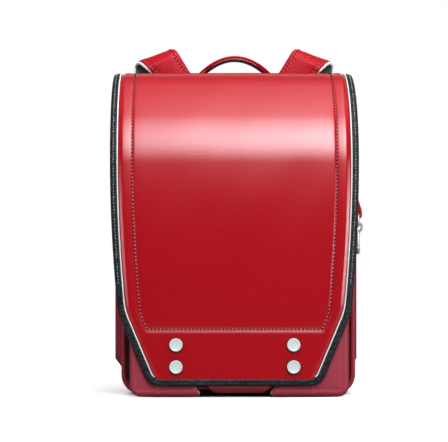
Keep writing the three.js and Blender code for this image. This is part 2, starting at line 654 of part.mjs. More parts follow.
function makeHook() {
  const { x, y, barZ, wire, thickness } = HOOK;
  const wallX = BODY.halfWidth + GAP;
  const tab = new THREE.Shape();
  tab.moveTo(wallX, HOOK.tabTopZ);
  tab.lineTo(wallX, barZ + 2 * HOOK.tabRadius);
  tab.absarc(x, barZ, HOOK.tabRadius, Math.PI, 2 * Math.PI, false);
  tab.lineTo(x + HOOK.tabRadius, barZ + HOOK.tabRadius);
  tab.lineTo(wallX + WALL, HOOK.tabTopZ);
  const hole = new THREE.Path();
  hole.absarc(x, barZ, wire + 2 * GAP, 0, 2 * Math.PI, false);
  tab.holes.push(hole);
  addPiece('hook_tab', upright(tab, y - HOOK.tabWidth / 2, y + HOOK.tabWidth / 2, 8), leatherRed);

  const ringZ = barZ - HOOK.ringHeight / 2;
  const sides = 8;
  const loop = roundedLoop(HOOK.ringWidth, HOOK.ringHeight, HOOK.ringCorner, 4);
  const ringSections = loop.map((p, i) => {
    const before = loop.at(i - 1);
    const along = loop[(i + 1) % loop.length].clone().sub(before).normalize();
    return Array.from({ length: sides }, (_, k) => {
      const angle = (2 * Math.PI * k) / sides;
      const out = wire * Math.cos(angle);
      return new THREE.Vector3(
        x + wire * Math.sin(angle), y + p.x + along.y * out, ringZ + p.y - along.x * out,
      );
    });
  });
  addPiece('hook_ring', loft(ringSections, { closed: true }), silver);

  const lowBarZ = barZ - HOOK.ringHeight;
  const eyeZ = lowBarZ + wire + GAP - HOOK.eyeHole;
  const eye = new THREE.TorusGeometry(HOOK.eyeHole + HOOK.eyeWire, HOOK.eyeWire, 8, 14);
  eye.rotateX(Math.PI / 2).translate(x, y, eyeZ);
  const { outer, inner, loopCenterZ } = HOOK;
  const neckTop = eyeZ - HOOK.eyeHole - HOOK.eyeWire;
  const neckBottom = loopCenterZ + (outer.z + inner.z) / 2;
  const neck = new THREE.CylinderGeometry(HOOK.neck, HOOK.neck, neckTop - neckBottom, 10);
  neck.rotateX(Math.PI / 2).translate(x, y, (neckTop + neckBottom) / 2);

  const bow = new THREE.Shape();
  bow.absellipse(0, 0, outer.y, outer.z, HOOK.throatFrom, HOOK.throatTo, false, 0);
  bow.absellipse(0, 0, inner.y, inner.z, HOOK.throatTo, HOOK.throatFrom, true, 0);
  addPiece('hook_body', geometryOf(
    solidOf(eye).add(solidOf(neck)).add(solidOf(besideWall(bow, thickness, loopCenterZ))),
  ), silver);

  const gate = new THREE.Shape();
  gate.absarc(GATE.pivotY, GATE.pivotZ, GATE.halfWidth, 0, Math.PI, false);
  gate.lineTo(GATE.pivotY - GATE.halfWidth, GATE.endZ);
  gate.lineTo(GATE.pivotY + GATE.halfWidth, GATE.endZ);
  addPiece('hook_gate', besideWall(gate, GATE.thickness, loopCenterZ), silver);
}

// An outline drawn in (y, z) about the hook's loop, as a plate parallel to the bag's side
function besideWall(shape, thickness, centreZ) {
  const options = { depth: thickness, bevelEnabled: false, curveSegments: 18 };
  const geometry = new THREE.ExtrudeGeometry(shape, options);
  const turn = new THREE.Matrix4().makeBasis(
    new THREE.Vector3(0, 1, 0), new THREE.Vector3(0, 0, 1), new THREE.Vector3(1, 0, 0),
  );
  return geometry.applyMatrix4(turn).translate(HOOK.x - thickness / 2, HOOK.y, centreZ);
}

makeBackPanel();
makeMainCompartment();
makePocket();
makeFlap();
makeFlapEdging();
makeRivets();
makeClosure();
makeAnchorAndHandle();
makeStrap(-1, 'left');
makeStrap(1, 'right');
makeBackPad();
makeHook();

export default bag;
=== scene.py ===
"""Leather school backpack: soft pieces, trims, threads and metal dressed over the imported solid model."""

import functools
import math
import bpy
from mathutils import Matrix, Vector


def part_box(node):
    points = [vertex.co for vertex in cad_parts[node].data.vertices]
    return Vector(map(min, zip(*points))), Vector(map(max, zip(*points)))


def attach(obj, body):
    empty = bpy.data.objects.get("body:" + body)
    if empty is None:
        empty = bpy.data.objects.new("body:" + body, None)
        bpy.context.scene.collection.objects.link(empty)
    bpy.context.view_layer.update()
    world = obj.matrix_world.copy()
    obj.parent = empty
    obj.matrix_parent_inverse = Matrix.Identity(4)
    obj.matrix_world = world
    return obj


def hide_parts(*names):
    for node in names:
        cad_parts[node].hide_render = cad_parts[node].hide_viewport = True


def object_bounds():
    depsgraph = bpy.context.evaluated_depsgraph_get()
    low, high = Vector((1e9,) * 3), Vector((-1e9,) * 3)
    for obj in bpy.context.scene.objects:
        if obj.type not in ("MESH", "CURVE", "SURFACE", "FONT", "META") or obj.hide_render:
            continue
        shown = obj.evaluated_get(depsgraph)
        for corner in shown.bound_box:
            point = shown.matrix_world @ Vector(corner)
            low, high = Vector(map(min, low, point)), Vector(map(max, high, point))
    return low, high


bl_info = {
    "name": "School Backpack",
    "version": (1, 0, 0),
    "blender": (4, 5, 0),
    "location": "View3D > Sidebar > Backpack",
    "description": "Builds the flap, body, straps, cushion and snap hook of a leather school backpack",
    "category": "Object",
}

import bmesh
import bpy
import numpy as np
from bpy.props import FloatProperty, FloatVectorProperty, PointerProperty

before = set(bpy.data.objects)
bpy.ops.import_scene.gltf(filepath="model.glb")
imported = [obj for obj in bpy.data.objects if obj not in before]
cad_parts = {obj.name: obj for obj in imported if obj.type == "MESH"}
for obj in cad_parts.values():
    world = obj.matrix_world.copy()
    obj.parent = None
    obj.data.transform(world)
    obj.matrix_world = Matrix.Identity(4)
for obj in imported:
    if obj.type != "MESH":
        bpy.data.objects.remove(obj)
CAD_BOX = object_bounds()

# Flap as cut and bent, in metres; t runs over the flap from its lower edge to its hinge
FLAP_BOTTOM = 0.012
FLAP_TOP = 0.352
FLAP_LEAN = math.radians(4)
FLAP_THICKNESS = 0.003
BEND_DEPTH = 0.095
BEND_HEIGHT = 0.108
BEND_Y = -0.005
BACK_RADIUS = 0.014
FLAP_BACK_Y = 0.0632
HINGE_Z = 0.326

# Flap's outline: widest at one height, tapering both ways, with cut and rounded lower corners
FLAP_HALF_WIDTH = 0.1346
FLAP_SHIFT = -0.0050
WIDEST_AT = 0.250
TAPER_BELOW = 0.30
TAPER_ABOVE = 0.16
TAPER_END = 0.400
CORNER_X = 0.0805
CORNER_RADIUS = 0.018
CORNER_BLEND = 0.003
CORNER_FADE = 0.020
CHAMFER_X = 0.0924
CHAMFER_ANGLE = math.radians(23)
OUTLINE_SPACING = 0.003
BINDING_FOOT = 0.110

# Flap's slow curves: droop beside the crown, bow down the front and lift over the top
CROWN_START = 0.100
CROWN_DROP = 0.0025
CROWN_FULL = 0.385
CROWN_END = 0.440
BOW_LENGTH = 0.27
BOW_SKEW = 1.6
TOP_LIFT = 0.0015
TOP_LIFT_SPAN = (0.27, 0.345)

# Flap's relief: padding, ridge and groove along the sewn line, rolled border, waves and rivets
PANEL_FOOT = 0.061
PADDING_REACH = 0.012
SIDE_RISE = 0.13
SIDE_RISE_SKEW = 0.03
SIDE_RISE_REACH = 0.017
FOOT_RISE = 0.06
FOOT_RISE_REACH = 0.006
RISE_CHANGE = (0.050, 0.090)
GROOVE_INNER = 0.0013
GROOVE_OUTER = 0.0032
GROOVE_CHANGE = (0.13, 0.22)
ROLL_DROP = 0.0015
ROLL_START = 0.0145
ROLL_REACH = 0.0055
WAVE_HEIGHTS = (0.00016, 0.00006)
RIVET_X = 0.0633
RIVET_ROWS = (0.0441, 0.0204)

# Main compartment and back panel
BODY_HALF_WIDTH = 0.128
BODY_TOP = 0.318
BODY_RADIUS = 0.022
BODY_FRONT_Y = -0.058
BODY_BACK_Y = 0.0557
BODY_INSIDE = (0, 0, 0.15)
FRONT_FACE_Y = -0.061
FRONT_TOP = 0.300
BACK_FACE_Y = 0.059
BACK_FOOT = 0.0005
BACK_TOP = 0.337
BACK_CORNER = 0.008
BACK_WALL = 0.003
FLANGE_HALF_WIDTH = 0.137
FLANGE_FOOT = 0.031
GUSSET_WALL = 0.0025
GUSSET_SAG = 0.0022
GUSSET_CREASE = 0.0006
FACE_WALL = 0.0027
WELT_RADIUS = 0.0028
SEWN_INSET = 0.005
EDGE_MARGINS = (0.015, 0.014)
EDGE_STEPS = np.array([0, 0.0004, 0.001, 0.0018, 0.003, 0.0045, 0.006, 0.008, 0.011, 0.016])

# Front pocket, the notch in its lower edge and the tape round its back
POCKET_HALF_WIDTH = 0.114
POCKET_BOTTOM = 0.008
POCKET_TOP = 0.250
POCKET_RADIUS = 0.009
POCKET_BACK_Y = -0.0613
POCKET_DEPTH = 0.0455
POCKET_DEPTH_TOP = 0.0295
POCKET_SKIRT = 0.003
POCKET_FACE_HALF = 0.1156
POCKET_FOLD = 0.0070
POCKET_PILLOW = 0.0010
POCKET_SEAM_X = 0.0838
POCKET_SEAM_TOP = 0.060
POCKET_SEAM_RADIUS = 0.0005
POCKET_INSIDE = (0, -0.085, 0.15)
FACE_GAP = 0.003
NOTCH_TOP = 0.020
NOTCH_HALF = 0.036
NOTCH_HALF_TOP = 0.0484
NOTCH_EDGE_RADIUS = 0.0008
NOTCH_SHIFT = -0.0045
NOTCH_SHIFT_FADE = (0.050, 0.095)
SEAM_TAPE_X = 0.1179
SEAM_TAPE_Z = 0.0041
SEAM_TAPE_RADIUS = 0.0129
SEAM_TAPE_WIDTH = 0.0086
SEAM_TAPE_THICKNESS = 0.0010

# Shoulder straps: up from the root, over the crest and down to the buckle
STRAP_FRONT_Y = 0.0773
STRAP_ROOT_Z = 0.314
STRAP_CREST = (0.0767, 0.3668)
STRAP_TILT = math.radians(20)
STRAP_RADIUS = 0.013
STRAP_FOLD = 0.007
STRAP_LIFT = 0.0058
STRAP_CUT = 0.0014
STRAP_TAPER = 0.0040
STRAP_TAPER_SHARE = 0.35
STRAP_STEPS = (18, 28, 64)
STRAP_END = (0.118, 0.172)
STRAP_PULL = 0.062
STRAP_BULGE = 0.031
STRAP_SWELL = 0.006
STRAP_END_THICKNESS = 0.005
STRAP_BEAD = 0.0017
STRAP_THREADS = (-0.91, -0.74, 0.66, 0.80)
TOP_SHIFT = -0.0012

# Lower straps and their way through the buckles
BELT_WIDTH = 0.022
BELT_THICKNESS = 0.003
BELT_GAP = 0.0006
BELT_FOOT_X = 0.108
BELT_FOOT_ROWS = (0.024, 0.040)
BELT_RISE_ROWS = (0.054, 0.080)
BELT_THREAD_X = 0.0085
BUCKLE_BAR = 0.013
BUCKLE_CLEAR = 0.0044

# Handle; each layer has its lowest, highest, spread past the width and corner radius
HANDLE_Y = 0.068
HANDLE_APEX = 0.374
HANDLE_FALL = 12.3
HANDLE_FOOT_Z = 0.3363
HANDLE_WIDTH = 0.018
HANDLE_FOOT_WIDTH = 0.0084
HANDLE_LAYERS = (
    (0.0008, 0.0031, 0.0000, 0.0011),
    (-0.0012, 0.0003, 0.0014, 0.0007),
    (-0.0032, -0.0013, -0.0004, 0.0006),
)

# Ring, snap hook and gate
HOOK_X = 0.136
HOOK_Y = 0.020
RING_BAR_Z = 0.196
RING_HEIGHT = 0.012
RING_WIDTH = 0.024
RING_CORNER = 0.005
RING_WIRE = 0.0015
EYE_RADIUS = 0.0048
EYE_WIRE = 0.0014
EYE_DROP = 0.0016
LOOP_Z = 0.165
LOOP_HALF_WIDTH = 0.0081
LOOP_HALF_HEIGHT = 0.0110
LOOP_WIRE = 0.0024
GATE_WIRE = 0.0019
GATE_Y = 0.0038

# Back cushion: its start inside the solid, and its sewn channels
PAD_START = (0.965, 0.62, 0.970)
PAD_VOXEL = 0.004
CLOTH_STEPS = 20
CLOTH_PRESSURE = 4.0
CLOTH_STIFFNESS = 15
CHANNEL_X = 0.024
CHANNEL_ROWS = (0.140, 0.216)
CHANNEL_WIDTH = 0.0045
CHANNEL_DEPTH = 0.55

# Stitches, and dark beads that paint the shade of needle holes, as (along, across, high)
SEAM_PITCH = 0.0042
SEAM_STITCH = (0.0031, 0.0008, 0.0007)
TAPE_PITCH = 0.0034
TAPE_STITCH = (0.0027, 0.0012, 0.0009)
FLAP_HOLE_SHADE = (0.0021, 0.0020, 0.0012)
STRAP_HOLE_SHADE = (0.0015, 0.0013, 0.0008)

# Used by many pieces
SIDES = ((-1, "left"), (1, "right"))
FORWARD = (0, -1, 0)
BACKWARD = (0, 1, 0)
MERGE_REACH = 1e-6
WHITE = (1.0, 1.0, 1.0, 1)


class BackpackSizes(bpy.types.PropertyGroup):
    """Sizes of the soft pieces and trims"""

    stitch_inset: FloatProperty(
        name="Stitch Inset", description="Flap edge to the sewn line", default=0.0240, unit="LENGTH")
    stitch_pitch: FloatProperty(
        name="Stitch Pitch", description="Spacing of the flap's stitches", default=0.00407, unit="LENGTH")
    padding: FloatProperty(
        name="Padding", description="How far the padded panel stands up", default=0.0006, unit="LENGTH")
    crown: FloatProperty(
        name="Crown", description="Slow bulge of the front face", default=0.0040, unit="LENGTH")
    groove: FloatProperty(
        name="Groove", description="Depth of the sewn groove", default=0.0004, unit="LENGTH")
    binding_width: FloatProperty(
        name="Binding Width", description="Black edge tape on the flap", default=0.0073, unit="LENGTH")
    piping_radius: FloatProperty(
        name="Piping Radius", description="Reflective bead beside the tape", default=0.00075, unit="LENGTH")
    rivet_radius: FloatProperty(
        name="Rivet Radius", description="Silver caps on the flap", default=0.0072, unit="LENGTH")
    strap_width: FloatProperty(
        name="Strap Width", description="Shoulder strap over the crest", default=0.038, unit="LENGTH")
    strap_thickness: FloatProperty(
        name="Strap Thickness", description="Padded shoulder strap", default=0.009, unit="LENGTH")
    pad_swell: FloatProperty(
        name="Pad Swell", description="Most that the back pad may swell", default=0.006, unit="LENGTH")


class BackpackColours(bpy.types.PropertyGroup):
    """Base colours of the finishes"""

    red_leather: FloatVectorProperty(
        name="Red Leather", description="Coated leather", subtype="COLOR",
        default=(0.205, 0.0018, 0.0042))
    # Darker than the flap's red: painted shade on the walls under the flap
    shaded_body_leather: FloatVectorProperty(
        name="Body Leather", description="Walls under the flap", subtype="COLOR",
        default=(0.165, 0.005, 0.011))
    strap_leather: FloatVectorProperty(
        name="Strap Leather", description="Straps and handle", subtype="COLOR",
        default=(0.212, 0.0018, 0.004))
    black_leather: FloatVectorProperty(
        name="Black Leather", description="Edge tape", subtype="COLOR",
        default=(0.0085, 0.0087, 0.0093))
    reflective: FloatVectorProperty(
        name="Reflective", description="Piping and cut edges", subtype="COLOR",
        default=(0.44, 0.465, 0.455))
    trim: FloatVectorProperty(
        name="Strap Trim", description="Beads on the strap edges", subtype="COLOR",
        default=(0.46, 0.47, 0.46))
    silver: FloatVectorProperty(
        name="Silver", description="Buckles, ring and hook", subtype="COLOR",
        default=(0.52, 0.54, 0.53))
    cap: FloatVectorProperty(
        name="Rivet Caps", description="Pale plated rivets", subtype="COLOR",
        default=(0.345, 0.357, 0.340))
    mesh: FloatVectorProperty(
        name="Air Mesh", description="Cushion and strap lining", subtype="COLOR",
        default=(0.045, 0.052, 0.050))
    plastic: FloatVectorProperty(
        name="Plastic", description="Strap anchor", subtype="COLOR",
        default=(0.016, 0.016, 0.018))
    thread: FloatVectorProperty(
        name="Thread", description="Red sewing thread", subtype="COLOR",
        default=(0.42, 0.030, 0.042))
    pale_thread: FloatVectorProperty(
        name="Pale Thread", description="Thread round the flap's panel", subtype="COLOR",
        default=(0.38, 0.065, 0.075))
    # Base colour of the edge tape's side thread, which is painted with patchy glints
    grey_thread_painted_glints: FloatVectorProperty(
        name="Grey Thread", description="Thread in the edge tape", subtype="COLOR",
        default=(0.105, 0.110, 0.112))


def sizes():
    return bpy.context.scene.backpack_sizes


def colours():
    return bpy.context.scene.backpack_colours


# Small geometry helpers

def smoothstep(value, low, high):
    share = np.clip((value - low) / (high - low), 0, 1)
    return share * share * (3 - 2 * share)


def smooth_min(a, b, k):
    return np.minimum(a, b) - np.maximum(k - np.abs(a - b), 0) ** 2 / (4 * k)


def bell(value, at, width):
    """1 at one value, falling away smoothly on both sides."""
    return np.exp(-((value - at) / width)**2)


def unit(vectors):
    return vectors / np.linalg.norm(vectors, axis=-1, keepdims=True)


def tangents(path, closed=False):
    if closed:
        return unit(np.roll(path, -1, axis=0) - np.roll(path, 1, axis=0))
    return unit(np.gradient(path, axis=0))


def resampled(path, spacing):
    """The same open path with evenly spaced points, through a smooth curve."""
    steps = np.linalg.norm(np.diff(path, axis=0), axis=1)
    at = np.concatenate([[0], np.cumsum(steps)])
    count = max(2, int(at[-1] / spacing) + 1)
    wanted = np.linspace(0, at[-1], count)
    slopes = np.gradient(path, at, axis=0)
    k = np.clip(np.searchsorted(at, wanted, side="right") - 1, 0, len(at) - 2)
    h = (at[k + 1] - at[k])[:, None]
    s = ((wanted - at[k]) / (at[k + 1] - at[k]))[:, None]
    return ((2 * s**3 - 3 * s**2 + 1) * path[k] + (s**3 - 2 * s**2 + s) * h * slopes[k]
            + (3 * s**2 - 2 * s**3) * path[k + 1] + (s**3 - s**2) * h * slopes[k + 1])


def bezier(a, b, c, d, count):
    s = np.linspace(0, 1, count)[:, None]
    a, b, c, d = (np.asarray(p, float) for p in (a, b, c, d))
    return (1 - s)**3 * a + 3 * (1 - s)**2 * s * b + 3 * (1 - s) * s**2 * c + s**3 * d


def points_at(x, y, z):
    """Points from three coordinates, each a number or a grid."""
    return np.stack(np.broadcast_arrays(x, y, z), axis=-1)


def link_object(name, data):
    piece = bpy.data.objects.new(name, data)
    bpy.context.scene.collection.objects.link(piece)
    return piece


def shaded(mesh, sharp):
    """Smooth a mesh, apart from edges that turn by more than so many degrees."""
    mesh.shade_smooth()
    mesh.set_sharp_from_angle(angle=math.radians(sharp))


def link_mesh(name, points, faces, materials, face_materials=None, sharp=45, closed_shell=True):
    """A smooth-shaded object at the origin; a closed shell is merged and turned outward."""
    mesh = bpy.data.meshes.new(name)
    mesh.from_pydata([tuple(map(float, p)) for p in points], [], [tuple(map(int, f)) for f in faces])
    for material in materials:
        mesh.materials.append(material)
    if face_materials is not None:
        mesh.polygons.foreach_set("material_index", np.asarray(face_materials, np.int32))
    if closed_shell:
        shell = bmesh.new()
        shell.from_mesh(mesh)
        bmesh.ops.remove_doubles(shell, verts=shell.verts, dist=MERGE_REACH)
        bmesh.ops.recalc_face_normals(shell, faces=shell.faces)
        shell.to_mesh(mesh)
        shell.free()
    shaded(mesh, sharp)
    return link_object(name, mesh)


def declare(piece, slot, *nodes, body="bag"):
    """Hang the piece on what carries it and hide the solids it stands for; the slot, what it is made of, is
    not used.
    """
    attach(piece, body)
    if nodes:
        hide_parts(*nodes)
    return piece


def loft(rings, closed=False):
    """Points and faces of a skin through rings of equal count, capped where it is open."""
    rings = np.asarray(rings)
    count = rings.shape[1]
    total = rings.shape[0]
    points = rings.reshape(-1, 3)
    faces = []
    for i in range(total if closed else total - 1):
        a = i * count
        b = (i + 1) % total * count
        for j in range(count):
            k = (j + 1) % count
            faces.append((a + j, a + k, b + k, b + j))
    if not closed:
        faces.append(tuple(range(count)))
        faces.append(tuple(range((total - 1) * count, total * count)))
    return points, faces


def swept_rings(path, ups, section, closed=False, scale=None):
    """Rings of a (sideways, upward) section carried along a path."""
    path = np.asarray(path, float)
    along = tangents(path, closed)
    ups = np.broadcast_to(np.asarray(ups, float), path.shape)
    across = unit(np.cross(along, ups))
    lifted = np.cross(across, along)
    section = np.asarray(section, float)
    scale = np.ones(len(path)) if scale is None else np.asarray(scale)
    return (path[:, None, :] + across[:, None, :] * (section[None, :, 0] * scale[:, None])[..., None]
            + lifted[:, None, :] * (section[None, :, 1] * scale[:, None])[..., None])


def round_section(radius, sides=10, flat=1.0):
    turn = np.linspace(0, 2 * math.pi, sides, endpoint=False)
    return np.stack([radius * np.cos(turn), radius * flat * np.sin(turn)], axis=1)


def tube(name, path, ups, section, finish, closed=False, scale=None):
    """A section carried along a path, as one object."""
    rings = swept_rings(path, ups, section, closed, scale)
    return link_mesh(name, *loft(rings, closed), [finish])


def joined(parts):
    """Points and faces of several skins as one mesh."""
    points = []
    faces = []
    for part_points, part_faces in parts:
        start = len(points)
        points.extend(part_points)
        faces.extend(tuple(start + i for i in face) for face in part_faces)
    return points, faces


def lathe(profile, steps):
    """Points and faces of a (radius, height) profile turned about the upright axis."""
    turn = np.linspace(0, 2 * math.pi, steps, endpoint=False)
    rings = [[(r * math.cos(a), r * math.sin(a), h) for r, h in profile] for a in turn]
    return loft(rings, closed=True)


def sheet_piece(name, grid, thickness, material, keep=None, inside=BODY_INSIDE):
    """A sewn sheet on a grid of points over its outer face, with its thickness laid inward."""
    rows, columns = grid.shape[:2]
    faces = []
    for r in range(rows - 1):
        for c in range(columns - 1):
            if keep is None or keep[r, c]:
                a = r * columns + c
                faces.append((a, a + 1, a + columns + 1, a + columns))
    points = grid.reshape(-1, 3)
    a, b, _, d = (points[i] for i in faces[len(faces) // 2])
    if np.dot(np.cross(b - a, d - a), a - np.asarray(inside)) < 0:
        faces = [face[::-1] for face in faces]
    piece = link_mesh(name, points, faces, [material], closed_shell=False)
    shell = piece.modifiers.new("Wall", "SOLIDIFY")
    shell.thickness = thickness
    shell.offset = -1
    return piece


def merged_solid(node):
    """An editable copy of a solid with its doubles merged."""
    shell = bmesh.new()
    shell.from_mesh(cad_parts[node].data)
    bmesh.ops.remove_doubles(shell, verts=shell.verts, dist=MERGE_REACH)
    return shell


def softened_copy(name, node, material, width, segments=3):
    """A copy of a solid with its edges rounded over."""
    shell = merged_solid(node)
    bmesh.ops.dissolve_limit(shell, angle_limit=math.radians(1), verts=shell.verts, edges=shell.edges)
    turn = math.radians(28)
    edges = [e for e in shell.edges if len(e.link_faces) == 2 and e.calc_face_angle(0) > turn]
    bmesh.ops.bevel(shell, geom=edges, offset=width, segments=segments, profile=0.5,
                    affect="EDGES", clamp_overlap=True)
    mesh = bpy.data.meshes.new(name)
    shell.to_mesh(mesh)
    shell.free()
    mesh.materials.clear()
    mesh.materials.append(material)
    shaded(mesh, 40)
    return link_object(name, mesh)


def applied(piece, modifier):
    """Keep what a modifier makes as the piece's plain mesh."""
    evaluated = piece.evaluated_get(bpy.context.evaluated_depsgraph_get())
    mesh = bpy.data.meshes.new_from_object(evaluated)
    piece.modifiers.remove(modifier)
    piece.data = mesh


# Finishes

def feed(tree, node, values):
    """Set a node's inputs, each to a value or to another node's socket."""
    for key, value in values.items():
        if isinstance(value, bpy.types.NodeSocket):
            tree.links.new(value, node.inputs[key])
        else:
            node.inputs[key].default_value = value


def add_node(tree, kind, values=None, **settings):
    node = tree.nodes.new(kind)
    for key, value in settings.items():
        setattr(node, key, value)
    feed(tree, node, values or {})
    return node


def effect_group(name, inputs, outputs):
    """An empty shader group with named value sockets and its ends; no ends if it was there already."""
    group = bpy.data.node_groups.get(name)
    if group:
        return None, group
    group = bpy.data.node_groups.new(name, "ShaderNodeTree")
    for label, value in inputs.items():
        socket = group.interface.new_socket(label, in_out="INPUT", socket_type="NodeSocketFloat")
        socket.default_value = value
    for label in outputs:
        group.interface.new_socket(label, in_out="OUTPUT", socket_type="NodeSocketFloat")
    ends = add_node(group, "NodeGroupInput"), add_node(group, "NodeGroupOutput")
    return ends, group


def noise(tree, place, scale, detail):
    """Noise over a piece, as a socket."""
    values = {"Vector": place, "Scale": scale, "Detail": detail}
    return add_node(tree, "ShaderNodeTexNoise", values).outputs[0]


def ranged(tree, factor, low, high, start=0.25, stop=0.75, **settings):
    """A mask brought from the span start to stop into the span low to high, as a socket."""
    values = {"Value": factor, "From Min": start, "From Max": stop, "To Min": low, "To Max": high}
    return add_node(tree, "ShaderNodeMapRange", values, **settings).outputs["Result"]


def grain_group():
    """Pebbled leather: grain height, slow colour drift and a gloss mask."""
    ends, group = effect_group("Leather grain", {"Scale": 900.0}, ("Height", "Tone", "Gloss"))
    if ends is None:
        return group
    start, end = ends
    place = add_node(group, "ShaderNodeTexCoord").outputs["Object"]
    cells = add_node(group, "ShaderNodeTexVoronoi", {"Vector": place, "Scale": start.outputs["Scale"]},
                     feature="SMOOTH_F1")
    fine = noise(group, place, 2600.0, 2.0)
    height = add_node(group, "ShaderNodeMath", {0: fine, 1: 0.35, 2: cells.outputs["Distance"]},
                      operation="MULTIPLY_ADD")
    drift = noise(group, place, 14.0, 3.0)
    smears = noise(group, place, 420.0, 2.0)
    feed(group, end, {"Height": height.outputs[0], "Tone": drift, "Gloss": smears})
    return group


def air_mesh_group():
    """Knitted air mesh: rows of small round holes, with a mask of their painted shade."""
    ends, group = effect_group("Air mesh", {"Scale": 330.0}, ("Hole shade", "Height"))
    if ends is None:
        return group
    start, end = ends
    place = add_node(group, "ShaderNodeTexCoord").outputs["Object"]
    turned = add_node(group, "ShaderNodeMapping", {"Vector": place, "Rotation": (0.0, math.radians(45), 0.0)})
    cells = add_node(group, "ShaderNodeTexVoronoi",
                     {"Vector": turned.outputs["Vector"], "Scale": start.outputs["Scale"], "Randomness": 0.0},
                     feature="F1")
    hole_shade = ranged(group, cells.outputs["Distance"], 1.0, 0.0, 0.26, 0.40)
    knit = noise(group, place, 1500.0, 1.0)
    height = add_node(group, "ShaderNodeMath", {0: knit, 1: 0.3, 2: cells.outputs["Distance"]},
                      operation="MULTIPLY_ADD")
    feed(group, end, {"Hole shade": hole_shade, "Height": height.outputs[0]})
    return group


def new_material(name):
    material = bpy.data.materials.new(name)
    material.use_nodes = True
    return material, material.node_tree, material.node_tree.nodes["Principled BSDF"]


def tinted(tree, factor, dark, light, shader):
    """Base colour between two shades by a mask."""
    mix = add_node(tree, "ShaderNodeMix", {0: factor, 6: (*dark, 1), 7: (*light, 1)}, data_type="RGBA")
    feed(tree, shader, {"Base Color": mix.outputs[2]})


def bumped(tree, height, shader, strength, distance):
    bump = add_node(tree, "ShaderNodeBump", {"Height": height, "Strength": strength, "Distance": distance})
    normal = bump.outputs["Normal"]
    feed(tree, shader, {"Normal": normal, "Coat Normal": normal})


def shade(colour, share):
    """A colour made darker or lighter."""
    return [min(1, c * share) for c in colour]


def rub_top(tree, shader, coat):
    """Dull the coat where a face looks up, as rubbing from above does."""
    normal = add_node(tree, "ShaderNodeNewGeometry").outputs["Normal"]
    upward = add_node(tree, "ShaderNodeSeparateXYZ", {0: normal}).outputs["Z"]
    worn = ranged(tree, upward, 0.0, 1.0, 0.95, 0.995, interpolation_type="SMOOTHSTEP")
    rough = shader.inputs["Roughness"].links[0].from_socket
    duller = add_node(tree, "ShaderNodeMath", {0: worn, 1: 0.5, 2: rough}, operation="MULTIPLY_ADD")
    feed(tree, shader, {"Coat Weight": ranged(tree, worn, coat, 0.0), "Roughness": duller.outputs[0]})


def grained(name, colour, rough, scale, strength, drift=0.10, specular=0.5, tint=(1, 1, 1), coat=0.0,
            tone="Tone", contrast=1.0, rubbed=False):
    """Leather, plastic or thread: a grained surface with drifting or pebbled tone and uneven gloss."""
    material, tree, shader = new_material(name)
    grain = add_node(tree, "ShaderNodeGroup", {"Scale": scale}, node_tree=grain_group()).outputs
    half = 0.5 / contrast
    mask = ranged(tree, grain[tone], 0.0, 1.0, 0.5 - half, 0.5 + half)
    tinted(tree, mask, shade(colour, 1 - drift), shade(colour, 1 + drift), shader)
    feed(tree, shader, {
        "Roughness": ranged(tree, grain["Gloss"], rough - 0.04, rough + 0.04),
        "Specular IOR Level": specular,
        "Specular Tint": (*tint, 1),
        "Coat Weight": coat,
        "Coat Roughness": 0.14,
    })
    bumped(tree, grain["Height"], shader, strength, 0.0004)
    if rubbed:
        rub_top(tree, shader, coat)
    return material


def made_once(make):
    """A finish that is made at its first use and found by its name after that."""
    @functools.wraps(make)
    def found():
        name = f"finish_{make.__name__}"
        return bpy.data.materials.get(name) or make(name)
    return found


@made_once
def red_leather(name):
    """Coated leather: a soft red sheen under a clear glossy coat."""
    return grained(name, colours().red_leather, 0.40, 850.0, 0.20, drift=0.06, specular=0.22,
                   tint=(1.0, 0.02, 0.05), coat=0.9, tone="Gloss", contrast=3.0, rubbed=True)


@made_once
def shaded_body_leather(name):
    """The same leather with a hazier face, its base colour darker to paint the shade on the walls under the
    flap.
    """
    return grained(name, colours().shaded_body_leather, 0.52, 800.0, 0.12, drift=0.05, specular=0.6,
                   tint=(1.0, 0.6, 0.75))


@made_once
def strap_leather(name):
    """The same leather, softer and less glossy."""
    return grained(name, colours().strap_leather, 0.45, 800.0, 0.12, drift=0.05, tint=(1.0, 0.25, 0.32))


@made_once
def cap_metal(name):
    return grained(name, colours().cap, 0.34, 500.0, 0.05, drift=0.06, specular=0.8)


@made_once
def black_leather(name):
    return grained(name, colours().black_leather, 0.36, 420.0, 1.0, drift=0.97, specular=0.12,
                   tone="Gloss", contrast=4.0)


@made_once
def black_plastic(name):
    return grained(name, colours().plastic, 0.48, 1400.0, 0.20, drift=0.2)


@made_once
def strap_trim(name):
    return grained(name, colours().trim, 0.45, 1100.0, 0.15)


@made_once
def red_thread(name):
    return grained(name, colours().thread, 0.50, 2500.0, 0.5, drift=0.2)


@made_once
def pale_thread(name):
    return grained(name, colours().pale_thread, 0.45, 2500.0, 0.4, drift=0.15)


# Grey thread broken into pale and dark patches: painted glints of light on the tape's side stitches
@made_once
def grey_thread_painted_glints(name):
    return grained(name, colours().grey_thread_painted_glints, 0.40, 900.0, 0.8, drift=0.9, tone="Gloss", contrast=3.0)


# Nearly black red for the rings round the rivets: painted shade where the caps sit on the flap
@made_once
def pressed_leather(name):
    return grained(name, (0.06, 0.002, 0.003), 0.6, 900.0, 0.1, specular=0.1)


# Near-black beads laid over the needle holes: painted shade of the holes
@made_once
def needle_hole(name):
    return grained(name, (0.035, 0.002, 0.003), 0.8, 900.0, 0.1, drift=0.2, specular=0.1)


